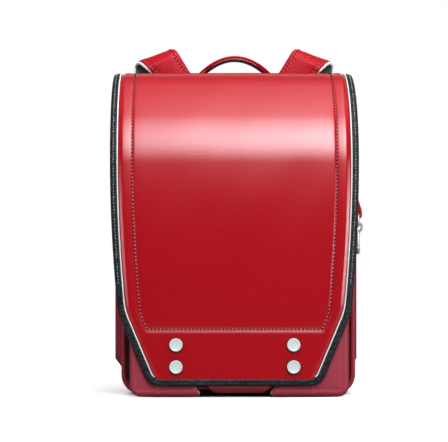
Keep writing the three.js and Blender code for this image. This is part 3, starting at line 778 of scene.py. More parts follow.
@made_once
def reflective(name):
    """Glass-bead tape: pale, with bumped beads whose centres are painted lighter as a fine glint."""
    material, tree, shader = new_material(name)
    place = add_node(tree, "ShaderNodeTexCoord").outputs["Object"]
    beads = add_node(tree, "ShaderNodeTexVoronoi", {"Vector": place, "Scale": 1500.0}, feature="F1")
    bead_glint = beads.outputs["Distance"]
    colour = colours().reflective
    # Bead centres lighter and edges darker: painted glints over the bead pattern
    tinted(tree, bead_glint, shade(colour, 1.08), shade(colour, 0.80), shader)
    feed(tree, shader, {"Roughness": ranged(tree, bead_glint, 0.28, 0.45), "Metallic": 0.1})
    bumped(tree, bead_glint, shader, 0.2, 0.0002)
    return material


@made_once
def silver(name):
    """Satin plated metal with faint handling marks."""
    material, tree, shader = new_material(name)
    marks = noise(tree, add_node(tree, "ShaderNodeTexCoord").outputs["Object"], 380.0, 4.0)
    colour = colours().silver
    tinted(tree, marks, shade(colour, 0.88), shade(colour, 1.08), shader)
    feed(tree, shader, {"Roughness": ranged(tree, marks, 0.26, 0.38), "Metallic": 0.85})
    bumped(tree, marks, shader, 0.06, 0.0002)
    return material


@made_once
def air_mesh(name):
    """Dark knitted mesh with sunken holes, painted darker inside as their shade."""
    material, tree, shader = new_material(name)
    knit = add_node(tree, "ShaderNodeGroup", node_tree=air_mesh_group()).outputs
    colour = colours().mesh
    # Holes a quarter as bright as the knit: painted shade inside them
    tinted(tree, knit["Hole shade"], colour, shade(colour, 0.25), shader)
    feed(tree, shader, {"Roughness": 0.85})
    bumped(tree, knit["Height"], shader, 0.5, 0.0008)
    return material


# Flap surface

def flap_path():
    """Distance, y and z along the flap's outer face, from its lower edge over the bend to the hinge."""
    start = math.atan(BEND_HEIGHT / BEND_DEPTH * math.tan(FLAP_LEAN))
    bend = np.linspace(start, math.pi / 2, 300)
    bend_y = BEND_Y - BEND_DEPTH * np.cos(bend)
    bend_z = FLAP_TOP - BEND_HEIGHT + BEND_HEIGHT * np.sin(bend)
    foot_y = bend_y[0] - (bend_z[0] - FLAP_BOTTOM) * math.tan(FLAP_LEAN)
    turn = np.linspace(0, math.pi / 2, 60)
    turn_y = FLAP_BACK_Y - BACK_RADIUS + BACK_RADIUS * np.sin(turn)
    turn_z = FLAP_TOP - BACK_RADIUS + BACK_RADIUS * np.cos(turn)
    y = np.concatenate([[foot_y], bend_y, turn_y, [FLAP_BACK_Y]])
    z = np.concatenate([[FLAP_BOTTOM], bend_z, turn_z, [HINGE_Z]])
    at = np.concatenate([[0], np.cumsum(np.hypot(np.diff(y), np.diff(z)))])
    return at, y, z


PATH_AT, PATH_Y, PATH_Z = flap_path()
FLAP_LENGTH = PATH_AT[-1]
SLOPE_STEP = 0.0015
WIDTH_STEP = 0.001


def flap_normal(t):
    """Outward direction in the (y, z) plane."""
    low = np.clip(t - SLOPE_STEP, 0, FLAP_LENGTH)
    high = np.clip(t + SLOPE_STEP, 0, FLAP_LENGTH)
    dy = np.interp(high, PATH_AT, PATH_Y) - np.interp(low, PATH_AT, PATH_Y)
    dz = np.interp(high, PATH_AT, PATH_Z) - np.interp(low, PATH_AT, PATH_Z)
    size = np.hypot(dy, dz)
    return -dz / size, dy / size


def flap_point(x, t, lift=0.0):
    """A point on or over the flap, which droops towards its side edges."""
    x, t, lift = np.broadcast_arrays(np.asarray(x, float), np.asarray(t, float), np.asarray(lift, float))
    ny, nz = flap_normal(t)
    beside = np.maximum(0, np.abs(x) - CROWN_START) / (FLAP_HALF_WIDTH - CROWN_START)
    bow = np.sin(math.pi * np.clip((t - PANEL_FOOT) / BOW_LENGTH, 0, 1)**BOW_SKEW)
    rise = lift + sizes().crown * bow - CROWN_DROP * beside**2 * (1 - smoothstep(t, CROWN_FULL, CROWN_END))
    y = np.interp(t, PATH_AT, PATH_Y) + ny * rise
    z = np.interp(t, PATH_AT, PATH_Z) + nz * rise
    return points_at(x + FLAP_SHIFT, y, z + TOP_LIFT * smoothstep(z, *TOP_LIFT_SPAN))


def flap_up(t):
    ny, nz = flap_normal(np.asarray(t, float))
    return points_at(0.0, ny, nz)


def flap_half_width(t, inset=0.0):
    t = np.asarray(t, float)
    r = max(CORNER_RADIUS - inset, 0.0)
    taper = np.where(t < WIDEST_AT, TAPER_BELOW, TAPER_ABOVE)
    waist = FLAP_HALF_WIDTH - inset - taper * (np.minimum(t, TAPER_END) - WIDEST_AT)**2
    chamfer = CHAMFER_X + t * math.tan(CHAMFER_ANGLE) - inset / math.cos(CHAMFER_ANGLE)
    corner = CORNER_X + np.sqrt(np.maximum(r * r - (CORNER_RADIUS - t)**2, 0))
    straight = smooth_min(chamfer, waist, CORNER_BLEND)
    return np.where(t < CORNER_RADIUS - r * math.sin(CHAMFER_ANGLE), corner, straight)


def panel_distance(x, t):
    """Distance into the padded panel from its sewn line, negative on the border."""
    slope = (flap_half_width(t + WIDTH_STEP) - flap_half_width(t - WIDTH_STEP)) / (2 * WIDTH_STEP)
    side = (flap_half_width(t) - sizes().stitch_inset - np.abs(x)) / np.sqrt(1 + slope**2)
    return smooth_min(side, t - PANEL_FOOT, CORNER_BLEND)


def flap_relief(x, t):
    """Height of the padding, sewn groove and rolled border over the flat flap."""
    d = panel_distance(x, t)
    inside = np.maximum(d, 0)
    outside = np.maximum(-d, 0)
    padded = sizes().padding * (1 - np.exp(-inside / PADDING_REACH))
    side_slope = SIDE_RISE + SIDE_RISE_SKEW * np.sign(x)
    side_rise = side_slope * outside * np.exp(-(outside / SIDE_RISE_REACH)**4)
    foot_rise = FOOT_RISE * outside * bell(outside, 0, FOOT_RISE_REACH)
    ridge = foot_rise + (side_rise - foot_rise) * smoothstep(t, *RISE_CHANGE)
    outer = GROOVE_OUTER + (GROOVE_INNER - GROOVE_OUTER) * smoothstep(t, *GROOVE_CHANGE)
    groove = sizes().groove * bell(d, 0, np.where(d < 0, outer, GROOVE_INNER))
    inset = flap_half_width(t) - np.abs(x)
    roll = ROLL_DROP * np.clip((ROLL_START - inset) / ROLL_REACH, 0, 1.2)**2
    swell, ripple = WAVE_HEIGHTS
    waves = swell * np.sin(43 * x + 1.1) * np.sin(36 * t + 0.4) + ripple * np.sin(91 * x - 67 * t)
    return padded + ridge - groove - roll + waves * smoothstep(d, 0, 0.03)


def flap_outline(inset, corner_from=0.0):
    """Right half of the flap's edge as (x, t), from the hinge down and round the corner to the middle."""
    foot = CORNER_RADIUS - CORNER_RADIUS * math.sin(CHAMFER_ANGLE)
    sides = np.linspace(FLAP_LENGTH, foot, int((FLAP_LENGTH - foot) / OUTLINE_SPACING))
    r = CORNER_RADIUS - inset
    shift = CORNER_RADIUS - r * math.sin(CHAMFER_ANGLE) - foot
    t_side = sides + shift * np.clip(1 - (sides - foot) / CORNER_FADE, 0, 1)
    x_side = flap_half_width(t_side, inset)
    turn = np.linspace(math.pi / 2 - CHAMFER_ANGLE, corner_from, 9)[1:]
    x_turn = CORNER_X + r * np.sin(turn)
    t_turn = CORNER_RADIUS - r * np.cos(turn)
    return np.concatenate([x_side, x_turn]), np.concatenate([t_side, t_turn])


def both_sides(x, t, half, count):
    """A right-hand line as (x, t) carried on across the bottom and up the left-hand side."""
    low = np.linspace(half, -half, count)[1:-1]
    return (np.concatenate([x, low, -x[::-1]]),
            np.concatenate([t, np.full_like(low, t[-1]), t[::-1]]))


def whole_outline(inset):
    """The flap's edge from hinge to hinge, along both sides and the bottom."""
    return both_sides(*flap_outline(inset), CORNER_X, 46)


def panel_line():
    """The sewn line round the padded panel as (x, t), from hinge to hinge."""
    inner_x, inner_t = 0.070, 0.085
    corner = []
    for angle in np.linspace(0, math.pi / 2, 25):
        near, far = 0.0, 0.09
        for _ in range(40):
            reach = (near + far) / 2
            d = panel_distance(inner_x + reach * math.cos(angle), inner_t - reach * math.sin(angle))
            near, far = (reach, far) if d > 0 else (near, reach)
        corner.append((inner_x + near * math.cos(angle), inner_t - near * math.sin(angle)))
    corner_x, corner_t = np.array(corner).T
    side_t = np.linspace(FLAP_LENGTH - 0.030, inner_t, 120)[:-1]
    side_x = flap_half_width(side_t) - sizes().stitch_inset
    return both_sides(np.concatenate([side_x, corner_x]), np.concatenate([side_t, corner_t]), inner_x, 40)


class BACKPACK_OT_flap(bpy.types.Operator):
    """Padded flap with its black edge tape and reflective piping"""

    bl_idname = "backpack.flap"
    bl_label = "Flap"

    def execute(self, context):
        self.make_flap()
        self.make_binding()
        self.make_piping()
        return {"FINISHED"}

    def make_flap(self):
        mm = 0.001
        insets = mm * np.concatenate([np.arange(3, 17, 2), np.arange(17, 31, 0.8), np.arange(31, 45, 2.5)])
        rows = mm * np.concatenate([np.arange(3, 54, 3), np.arange(54, 69, 0.8),
                                    np.arange(69, FLAP_LENGTH / mm - 1, 3)])
        half = flap_half_width(rows)[:, None]
        beside = half - insets[None, :]
        middle = (half - 45 * mm) * np.linspace(-1, 1, 64)[None, 1:-1]
        x = np.concatenate([-beside, middle, beside[:, ::-1]], axis=1)
        t = np.broadcast_to(rows[:, None], x.shape)
        grid = flap_point(x, t, flap_relief(x, t))
        piece = sheet_piece("flap_leather", grid, FLAP_THICKNESS, red_leather())
        declare(piece, "red_leather", "flap")

    def make_binding(self):
        width = sizes().binding_width
        below = -FLAP_THICKNESS
        section = [
            (width, 0.0002), (width - 0.0003, 0.0008), (width - 0.0012, 0.0011), (width * 0.58, 0.0011),
            (width * 0.50, 0.0008), (width * 0.42, 0.0011), (0.0016, 0.0009), (0.0005, 0.0002),
            (0.0, below / 2), (0.0005, below - 0.0003), (0.0016, below - 0.0009),
            (width - 0.0010, below - 0.0010), (width, below - 0.0002),
        ]
        rings = []
        for inset, lift in section:
            x, t = whole_outline(inset)
            rings.append(flap_point(x, t, lift))
        piece = link_mesh("flap_edge_tape", *loft(np.stack(rings, axis=1)), [black_leather()], sharp=70)
        declare(piece, "black_leather", "flap_binding")

    def make_piping(self):
        radius = sizes().piping_radius
        x, t = flap_outline(sizes().binding_width + 0.8 * radius, corner_from=math.radians(36))
        below = t < FLAP_LENGTH - 0.048
        x, t = x[below], t[below]
        for side, name in SIDES:
            path = flap_point(side * x, t, radius * 0.55)
            piece = tube(f"flap_bead_{name}", path, flap_up(t), round_section(radius), reflective())
            declare(piece, "reflective", f"flap_piping_{name}")


# Trees that repeat a shape along a path or on points

def new_tree(name, **sockets):
    """An empty geometry tree with named inputs of the given kinds, its inputs and its output node."""
    tree = bpy.data.node_groups.new(name, "GeometryNodeTree")
    for label, kind in sockets.items():
        tree.interface.new_socket(label, in_out="INPUT", socket_type=f"NodeSocket{kind}")
    tree.interface.new_socket("Pieces", in_out="OUTPUT", socket_type="NodeSocketGeometry")
    return tree, add_node(tree, "NodeGroupInput").outputs, add_node(tree, "NodeGroupOutput")


def carried_up(tree):
    """The carrier's own upward direction, as a socket."""
    return add_node(tree, "GeometryNodeInputNamedAttribute", {"Name": "up"},
                    data_type="FLOAT_VECTOR").outputs["Attribute"]


def put_out(tree, end, finish, points, shape, rotation):
    """Stand a shape on every point, make the instances real and give them their finish."""
    placed = add_node(tree, "GeometryNodeInstanceOnPoints",
                      {"Points": points, "Instance": shape, "Rotation": rotation})
    real = add_node(tree, "GeometryNodeRealizeInstances", {"Geometry": placed.outputs["Instances"]})
    finished = add_node(tree, "GeometryNodeSetMaterial",
                        {"Geometry": real.outputs["Geometry"], "Material": finish})
    feed(tree, end, {"Pieces": finished.outputs["Geometry"]})


def repeat_tree():
    """Instances of a flattened bead along a path, turned with it and standing on its surface."""
    name = "Repeat along path"
    if name in bpy.data.node_groups:
        return bpy.data.node_groups[name]
    tree, start, end = new_tree(name, Path="Geometry", Pitch="Float", Size="Vector", Shift="Float",
                                Finish="Material")
    curve = add_node(tree, "GeometryNodeMeshToCurve", {"Mesh": start["Path"]}).outputs["Curve"]
    spaced = add_node(tree, "GeometryNodeResampleCurve", mode="LENGTH")
    feed(tree, spaced, {"Curve": curve, "Length": start["Pitch"]})
    along = add_node(tree, "GeometryNodeInputTangent").outputs["Tangent"]
    turned = add_node(tree, "FunctionNodeAxesToRotation",
                      {"Primary Axis": along, "Secondary Axis": carried_up(tree)},
                      primary_axis="X", secondary_axis="Z")
    bead = add_node(tree, "GeometryNodeMeshUVSphere", {"Segments": 8, "Rings": 5, "Radius": 0.5})
    offset = add_node(tree, "ShaderNodeCombineXYZ", {"X": start["Shift"]})
    formed = add_node(tree, "GeometryNodeTransform",
                      {"Geometry": bead.outputs["Mesh"], "Scale": start["Size"],
                       "Translation": offset.outputs["Vector"]})
    smooth = add_node(tree, "GeometryNodeSetShadeSmooth", {"Geometry": formed.outputs["Geometry"]})
    put_out(tree, end, start["Finish"], spaced.outputs["Curve"], smooth.outputs["Geometry"],
            turned.outputs["Rotation"])
    return tree


def cap_tree():
    """A turned cap on each point of a mesh, standing on its surface."""
    name = "Caps on points"
    if name in bpy.data.node_groups:
        return bpy.data.node_groups[name]
    tree, start, end = new_tree(name, Points="Geometry", Cap="Object", Finish="Material")
    turned = add_node(tree, "FunctionNodeAxesToRotation",
                      {"Primary Axis": carried_up(tree), "Secondary Axis": (1.0, 0.0, 0.0)},
                      primary_axis="Z", secondary_axis="X")
    cap = add_node(tree, "GeometryNodeObjectInfo", {"Object": start["Cap"]})
    put_out(tree, end, start["Finish"], start["Points"], cap.outputs["Geometry"], turned.outputs["Rotation"])
    return tree


def carrier(name, rows, chained):
    """A mesh of paths or loose points, each point with its upward direction."""
    points = np.concatenate([row[0] for row in rows])
    ups = np.concatenate([np.broadcast_to(np.asarray(row[1], float), row[0].shape) for row in rows])
    edges = []
    start = 0
    for path, _ in rows:
        if chained:
            edges.extend((start + i, start + i + 1) for i in range(len(path) - 1))
        start += len(path)
    mesh = bpy.data.meshes.new(name)
    mesh.from_pydata([tuple(map(float, p)) for p in points], edges, [])
    directions = mesh.attributes.new("up", "FLOAT_VECTOR", "POINT")
    directions.data.foreach_set("vector", ups.astype(np.float32).ravel())
    return link_object(name, mesh)


def grown(piece, tree, values):
    """Run a tree on a carrier and keep its result as the piece's plain mesh."""
    modifier = piece.modifiers.new("Repeat", "NODES")
    modifier.node_group = tree
    for item in tree.interface.items_tree:
        if item.in_out == "INPUT" and item.name in values:
            modifier[item.identifier] = values[item.name]
    piece.update_tag()
    applied(piece, modifier)
    if not len(piece.data.polygons):
        raise RuntimeError(f"{piece.name} came out empty")
    return piece


class BACKPACK_OT_rivets(bpy.types.Operator):
    """Silver caps along the flap's lower border, each with a dark ring round it that paints its shade"""

    bl_idname = "backpack.rivets"
    bl_label = "Rivets"

    def execute(self, context):
        r = sizes().rivet_radius
        cap = [(0.0, 0.0017), (r * 0.70, 0.0017), (r * 0.78, 0.0018), (r * 0.86, 0.0021), (r * 0.94, 0.0020),
               (r * 0.99, 0.0015), (r, 0.0009), (r * 0.97, 0.0005), (r * 0.70, 0.0004), (r * 0.66, -0.0006),
               (0.0, -0.0006)]
        # A dark ring round each cap, painted as the cap's shade on the flap
        shade_ring = [(r * 0.90, 0.0001), (r * 1.02, 0.0003), (r * 1.10, 0.0004), (r * 1.16, 0.0001),
                (r * 1.16, -0.0006), (r * 0.90, -0.0006)]
        rows = []
        for side, _ in SIDES:
            for t in RIVET_ROWS:
                x = side * RIVET_X
                rows.append((flap_point([x], t, flap_relief(x, t) + 0.0005), flap_up(t)))
        caps = self.stand("flap_rivets", cap, cap_metal(), rows, sharp=60)
        shade_rings = self.stand("flap_rivet_seats", shade_ring, pressed_leather(), rows, sharp=45)
        declare(shade_rings, "red_leather")
        names = [f"flap_rivet_{level}_{side}" for level in ("upper", "lower") for _, side in SIDES]
        declare(caps, "silver_metal", *names)
        return {"FINISHED"}

    def stand(self, name, profile, finish, rows, sharp):
        """A turned shape on every rivet's place."""
        shape = link_mesh(f"{name}_shape", *lathe(profile, 40), [finish], sharp=sharp)
        piece = grown(carrier(name, rows, chained=False), cap_tree(), {"Cap": shape, "Finish": finish})
        bpy.data.objects.remove(shape)
        return piece


# Body walls

def tub_half_width(z, half, bottom, radius):
    sink = np.maximum(radius - (z - bottom), 0)
    return half - radius + np.sqrt(np.maximum(radius**2 - sink**2, 0))


def tub_path(half, bottom, top, radius, spacing=0.006):
    """U-shaped wall line as (x, z) with outward normals, from the right-hand top to the left-hand top."""
    down = np.linspace(top, bottom + radius, int((top - bottom) / spacing))
    turn = np.linspace(0, math.pi / 2, 10)[1:]
    low = np.linspace(half - radius, 0, int((half - radius) / spacing))[1:]
    x = np.concatenate([np.full_like(down, half), half - radius + radius * np.cos(turn), low])
    z = np.concatenate([down, bottom + radius - radius * np.sin(turn), np.full_like(low, bottom)])
    nx = np.concatenate([np.ones_like(down), np.cos(turn), np.zeros_like(low)])
    nz = np.concatenate([np.zeros_like(down), -np.sin(turn), -np.ones_like(low)])
    mirror = slice(-2, None, -1)
    return (np.concatenate([x, -x[mirror]]), np.concatenate([z, z[mirror]]),
            np.concatenate([nx, -nx[mirror]]), np.concatenate([nz, nz[mirror]]))


def pocket_face_y(z):
    """The pocket's front, which leans back towards its top."""
    depth = POCKET_DEPTH + (POCKET_DEPTH_TOP - POCKET_DEPTH) * np.clip(z / POCKET_TOP, 0, 1)
    return POCKET_BACK_Y - depth - FACE_GAP


def notch_half_width(z):
    return NOTCH_HALF + (NOTCH_HALF_TOP - NOTCH_HALF) * np.clip(z / NOTCH_TOP, 0, 1)


def wall_rows(z_low, z_high, fine):
    """Heights of a wall's grid, closer together at its lower and upper edges."""
    edge = EDGE_STEPS[:-1]
    middle = np.arange(z_low + EDGE_MARGINS[0], z_high - EDGE_MARGINS[1], fine)
    return np.concatenate([z_low + edge, middle, z_high - edge[::-1]])


def wall_columns(half):
    """x of a wall's grid for each row's half width, closer together at its side edges."""
    beside = half[:, None] - EDGE_STEPS
    middle = (half[:, None] - EDGE_STEPS[-1]) * np.linspace(-1, 1, 36)[1:-1]
    return np.concatenate([-beside, middle, beside[:, ::-1]], axis=1)


def edge_distance(x, half, z, low, high):
    """Distance of each point of a wall's grid from the nearest edge."""
    return np.minimum(half[:, None] - np.abs(x), np.minimum(z - low, high - z)[:, None])


def edge_roll(d, radius):
    """How far a face rolls away within a radius of its edge."""
    share = np.clip(1 - d / radius, 0, 1)
    return radius * (1 - np.sqrt(1 - share**2))


def back_half_width(z):
    low = tub_half_width(z, BODY_HALF_WIDTH, BACK_FOOT, BODY_RADIUS)
    flare = np.clip((z - BODY_RADIUS) / (FLANGE_FOOT - BODY_RADIUS), 0, 1)
    past = np.maximum(z - (BACK_TOP - BACK_CORNER), 0)
    top = BACK_CORNER - np.sqrt(np.maximum(BACK_CORNER**2 - past**2, 0))
    return low + (FLANGE_HALF_WIDTH - BODY_HALF_WIDTH) * flare - top


class BACKPACK_OT_body(bpy.types.Operator):
    """Back panel, main compartment and front pocket walls"""

    bl_idname = "backpack.body"
    bl_label = "Body"

    def execute(self, context):
        self.make_back_panel()
        self.make_main_compartment()
        self.make_pocket()
        return {"FINISHED"}

    def make_back_panel(self):
        z = wall_rows(BACK_FOOT, BACK_TOP, 0.009)
        half = back_half_width(z)
        x = wall_columns(half)
        d = edge_distance(x, half, z, BACK_FOOT, BACK_TOP)
        y = BACK_FACE_Y - edge_roll(d, 0.0012) - 0.0004 * bell(d, SEWN_INSET, 0.0012)
        piece = sheet_piece("back_leather", points_at(x, y, z[:, None]), BACK_WALL, shaded_body_leather())
        declare(piece, "red_leather", "back_panel")

    def make_main_compartment(self):
        share = np.linspace(0, 1, 30)
        across = np.linspace(BODY_BACK_Y, BODY_FRONT_Y, 30)
        sag = -GUSSET_SAG * np.sin(math.pi * share) - GUSSET_CREASE * bell(share, 0.5, 0.03)
        x, z, nx, nz = (line[:, None] for line in tub_path(BODY_HALF_WIDTH, 0, BODY_TOP, BODY_RADIUS))
        grid = points_at(x + nx * sag, across, z + nz * sag)
        piece = sheet_piece("main_side_leather", grid, GUSSET_WALL, shaded_body_leather())
        declare(piece, "red_leather", "main_gusset")

        z = wall_rows(0.0, FRONT_TOP, 0.012)
        half = tub_half_width(z, BODY_HALF_WIDTH, 0, BODY_RADIUS)
        x = wall_columns(half)
        y = FRONT_FACE_Y + edge_roll(edge_distance(x, half, z, 0, FRONT_TOP), 0.0015)
        piece = sheet_piece("main_front_leather", points_at(x, y, z[:, None]), FACE_WALL, shaded_body_leather())
        declare(piece, "red_leather", "main_front")

        r = WELT_RADIUS
        x, z, _, _ = tub_path(BODY_HALF_WIDTH - r, r, FRONT_TOP, BODY_RADIUS - r, 0.004)
        path = points_at(x, FRONT_FACE_Y - 0.0008, z)
        piece = tube("main_front_welt", path, FORWARD, round_section(r, 14, 0.80), shaded_body_leather())
        declare(piece, "red_leather")
        x, z, _, _ = tub_path(SEAM_TAPE_X, SEAM_TAPE_Z, POCKET_TOP + 0.01, SEAM_TAPE_RADIUS, 0.004)
        path = points_at(x, FRONT_FACE_Y - 0.0004, z)
        section = belt_section(SEAM_TAPE_WIDTH, SEAM_TAPE_THICKNESS)
        piece = tube("pocket_seam_tape", path, FORWARD, section, black_leather())
        declare(piece, "black_leather")

    def make_pocket(self):
        share = np.linspace(0, 1, 26)
        fold = -POCKET_FOLD * (1 - np.abs(2 * share - 1))**0.9
        path = tub_path(POCKET_HALF_WIDTH, POCKET_BOTTOM, POCKET_TOP, POCKET_RADIUS)
        x, z, nx, nz = (line[:, None] for line in path)
        y = POCKET_BACK_Y + (pocket_face_y(z) + FACE_GAP - POCKET_BACK_Y) * share
        grid = points_at(x + nx * fold, y, z + nz * fold)
        piece = sheet_piece("pocket_side_leather", grid, GUSSET_WALL, shaded_body_leather(), inside=POCKET_INSIDE)
        declare(piece, "red_leather", "pocket_gusset")

        low_rows = wall_rows(POCKET_SKIRT, NOTCH_TOP + 0.011, 0.004)
        z = np.concatenate([low_rows, wall_rows(POCKET_SKIRT, POCKET_TOP, 0.008)])
        z = np.unique(np.round(z[(z <= low_rows[-1]) | (z > low_rows[-1] + 0.003)], 5))
        half = tub_half_width(z, POCKET_FACE_HALF, POCKET_SKIRT, POCKET_RADIUS)
        notch = notch_half_width(z)[:, None]
        beside = half[:, None] - EDGE_STEPS
        between = notch + (half[:, None] - EDGE_STEPS[-1] - notch) * np.linspace(1, 0, 14)[1:]
        centre = notch * np.linspace(1, -1, 21)[1:-1]
        right = np.concatenate([beside, between], axis=1)
        x = np.concatenate([right, centre, -right[:, ::-1]], axis=1)
        d = edge_distance(x, half, z, POCKET_SKIRT, POCKET_TOP)
        pillow = POCKET_PILLOW * smoothstep(d, 0, 0.05)
        sunk = 0.0004 * bell(d, SEWN_INSET, 0.001)
        y = pocket_face_y(z)[:, None] + edge_roll(d, 0.0016) - pillow + sunk
        x = x + NOTCH_SHIFT * (1 - smoothstep(np.abs(x), *NOTCH_SHIFT_FADE))
        keep = np.ones(x.shape, bool)
        low = np.searchsorted(z, NOTCH_TOP)
        first = right.shape[1] - 1
        keep[:low, first:first + centre.shape[1] + 1] = False
        grid = points_at(x, y, z[:, None])
        piece = sheet_piece("pocket_front_leather", grid, FACE_WALL, shaded_body_leather(), keep, POCKET_INSIDE)
        declare(piece, "red_leather", "pocket_front")
        self.make_pocket_trims()

    def make_pocket_trims(self):
        edges = []
        seams = []
        for side, _ in SIDES:
            z = np.linspace(POCKET_SKIRT + 0.0005, NOTCH_TOP, 8)
            x = side * (notch_half_width(z) + 0.0002) + NOTCH_SHIFT
            path = points_at(x, pocket_face_y(z) + 0.0012, z)
            edges.append(loft(swept_rings(path, FORWARD, round_section(NOTCH_EDGE_RADIUS, 8, 2.0))))
            z = np.linspace(POCKET_SKIRT + 0.001, POCKET_SEAM_TOP, 20)
            path = points_at(side * POCKET_SEAM_X + NOTCH_SHIFT, pocket_face_y(z) - 0.0024, z)
            seams.append(loft(swept_rings(path, FORWARD, round_section(POCKET_SEAM_RADIUS, 8, 1.4))))
        piece = link_mesh("notch_cut_edges", *joined(edges), [reflective()])
        declare(piece, "reflective")
        piece = link_mesh("pocket_seams", *joined(seams), [pale_thread()])
        declare(piece, "red_leather")


class BACKPACK_OT_closure(bpy.types.Operator):
    """Tab that tucks under the bag and the clasp it reaches"""

    bl_idname = "backpack.closure"
    bl_label = "Closure"

    def execute(self, context):
        tab = softened_copy("closing_tab_leather", "closing_tab", red_leather(), 0.0006)
        declare(tab, "red_leather", "closing_tab")
        clasp = softened_copy("clasp_plate", "bottom_clasp", silver(), 0.0006)
        declare(clasp, "silver_metal", "bottom_clasp")
        return {"FINISHED"}


# Straps and handle

def strap_stations(side):
    """Centre, sideways, outward, width and thickness along a shoulder strap, root to buckle."""
    lean = 2 * STRAP_TILT
    rising, turning, hanging = STRAP_STEPS
    sin, cos = math.sin, math.cos
    crest_line = np.array([side * cos(STRAP_TILT), 0, -sin(STRAP_TILT)])
    crest_up = np.array([side * sin(STRAP_TILT), 0, cos(STRAP_TILT)])
    to_back = np.array([0.0, 1.0, 0.0])
    rise = np.array([side * sin(lean), 0, cos(lean)])
    start = np.array([side * STRAP_CREST[0] + TOP_SHIFT, STRAP_FRONT_Y, STRAP_CREST[1]]) + rise * STRAP_LIFT
    length = (STRAP_CREST[1] - STRAP_ROOT_Z) / cos(lean) + STRAP_LIFT
    width = sizes().strap_width
    thick = sizes().strap_thickness
    rows = []
    outward = np.array([side * cos(lean), 0, -sin(lean)])
    for share in np.linspace(1, 0, rising)[:-1]:
        cut = STRAP_CUT + STRAP_TAPER * min(share / STRAP_TAPER_SHARE, 1.0)
        rows.append((start - rise * share * length + outward * cut / 2, outward,
                     np.array([0.0, -1.0, 0.0]), width - cut, thick))
    for turn in np.linspace(0, math.pi, turning):
        about = crest_up * cos(turn) + to_back * sin(turn)
        centre = (start + crest_line * STRAP_RADIUS * turn * math.tan(STRAP_TILT)
                  + crest_up * STRAP_FOLD * sin(turn) + to_back * STRAP_RADIUS * (1 - cos(turn)))
        across = crest_line * cos(STRAP_TILT) - about * sin(STRAP_TILT)
        cut = STRAP_CUT * (1 - turn / math.pi)
        rows.append((centre + across * cut / 2, across,
                     crest_up * sin(turn) - to_back * cos(turn), width - cut, thick))
    top = rows[-1][0]
    end_y, end_z = STRAP_END
    foot_x = top[0] - TOP_SHIFT
    hang = bezier(top, (top[0], top[1], top[2] - STRAP_PULL),
                  (foot_x, end_y + STRAP_BULGE, end_z + STRAP_PULL), (foot_x, end_y, end_z), hanging)
    along = tangents(hang)
    for point, way, share in zip(hang[1:], along[1:], np.linspace(0, 1, hanging)[1:]):
        thinned = thick + (STRAP_END_THICKNESS - thick) * float(smoothstep(share, 0.8, 1.0))
        rows.append((point, np.array([side, 0.0, 0.0]), np.array([0, -way[2], way[1]]),
                     width + STRAP_SWELL * sin(math.pi * share), thinned))
    return rows


def strap_points(rows, place):
    """Points at (share of half width, share of half thickness) over every station."""
    across, out = place
    return np.array([c + s * across * w / 2 + o * out * h / 2 for c, s, o, w, h in rows])


def strap_crown(face):
    """Outward share of the leather face, which is crowned between its sunk sewn lines."""
    return 0.55 + 0.45 * np.sqrt(1 - face**2) - 0.16 * bell(np.abs(face), 0.72, 0.07)


def strap_section():
    """(sideways, outward) shares round a padded strap: leather face, then mesh lining."""
    face = np.linspace(-0.97, 0.97, 25)
    lining = -(0.50 + 0.50 * np.sqrt(1 - face**2))
    top = list(zip(face, strap_crown(face)))
    bottom = list(zip(face[::-1], lining[::-1]))
    return top, bottom


class BACKPACK_OT_shoulder_straps(bpy.types.Operator):
    """Padded shoulder straps with edge beads and mesh lining"""

    bl_idname = "backpack.shoulder_straps"
    bl_label = "Shoulder Straps"

    def execute(self, context):
        top, bottom = strap_section()
        section = top + bottom
        finishes = [strap_leather(), air_mesh()]
        for side, name in SIDES:
            rows = strap_stations(side)
            points, faces = loft(np.stack([strap_points(rows, place) for place in section], axis=1))
            lined = [int(i % len(section) >= len(top) - 1) for i in range(len(faces) - 2)] + [0, 0]
            piece = link_mesh(f"padded_strap_{name}", points, faces, finishes, lined, sharp=60)
            declare(piece, "red_leather", f"shoulder_strap_{name}")
            ups = np.array([row[2] for row in rows])
            for edge, label, finish, slot in ((1, "bead", strap_trim(), "reflective"),
                                              (-1, "welt", strap_leather(), "red_leather")):
                path = strap_points(rows, (edge * 0.985, 0.0))
                piece = tube(f"strap_{label}_{name}", path, ups, round_section(STRAP_BEAD, 10, 1.1), finish)
                declare(piece, slot)
        return {"FINISHED"}


def belt_path(side):
    """Middle line of a lower strap, from its patch through the buckle and back along the shoulder strap."""
    rows = strap_stations(side)
    end = rows[-1][0]
    up = unit(rows[-2][0] - end)
    away = np.array([0, up[2], -up[1]])
    bar = BUCKLE_BAR
    clear = BUCKLE_CLEAR
    centre = end - up * (bar + BELT_GAP)
    lay_y = BACK_FACE_Y + BELT_GAP / 2 + BELT_THICKNESS / 2
    foot_x = side * BELT_FOOT_X

    def local(a, b):
        return centre + up * a + away * b

    low = local(-2.2 * bar, -clear - 0.001)
    foot = [(foot_x, lay_y, z) for z in BELT_FOOT_ROWS]
    leave, bend = ((foot_x, lay_y, z) for z in BELT_RISE_ROWS)
    sweep = bezier(leave, bend, low - up * 0.026, low, 8)
    passed = [local(-bar, -clear), local(-0.008, -clear + 0.0004), local(0.008, clear - 0.0004),
              local(bar, clear + 0.0004)]
    lain = [c + o * ((h + BELT_THICKNESS) / 2 + BELT_GAP) for c, _, o, _, h in rows[-7:-20:-4]]
    return resampled(np.array([*foot, *sweep, *passed, *lain]), 0.003)


def belt_ups(path, side):
    along = tangents(path)
    return unit(np.cross(np.broadcast_to([side, 0.0, 0.0], path.shape), along)) * -side


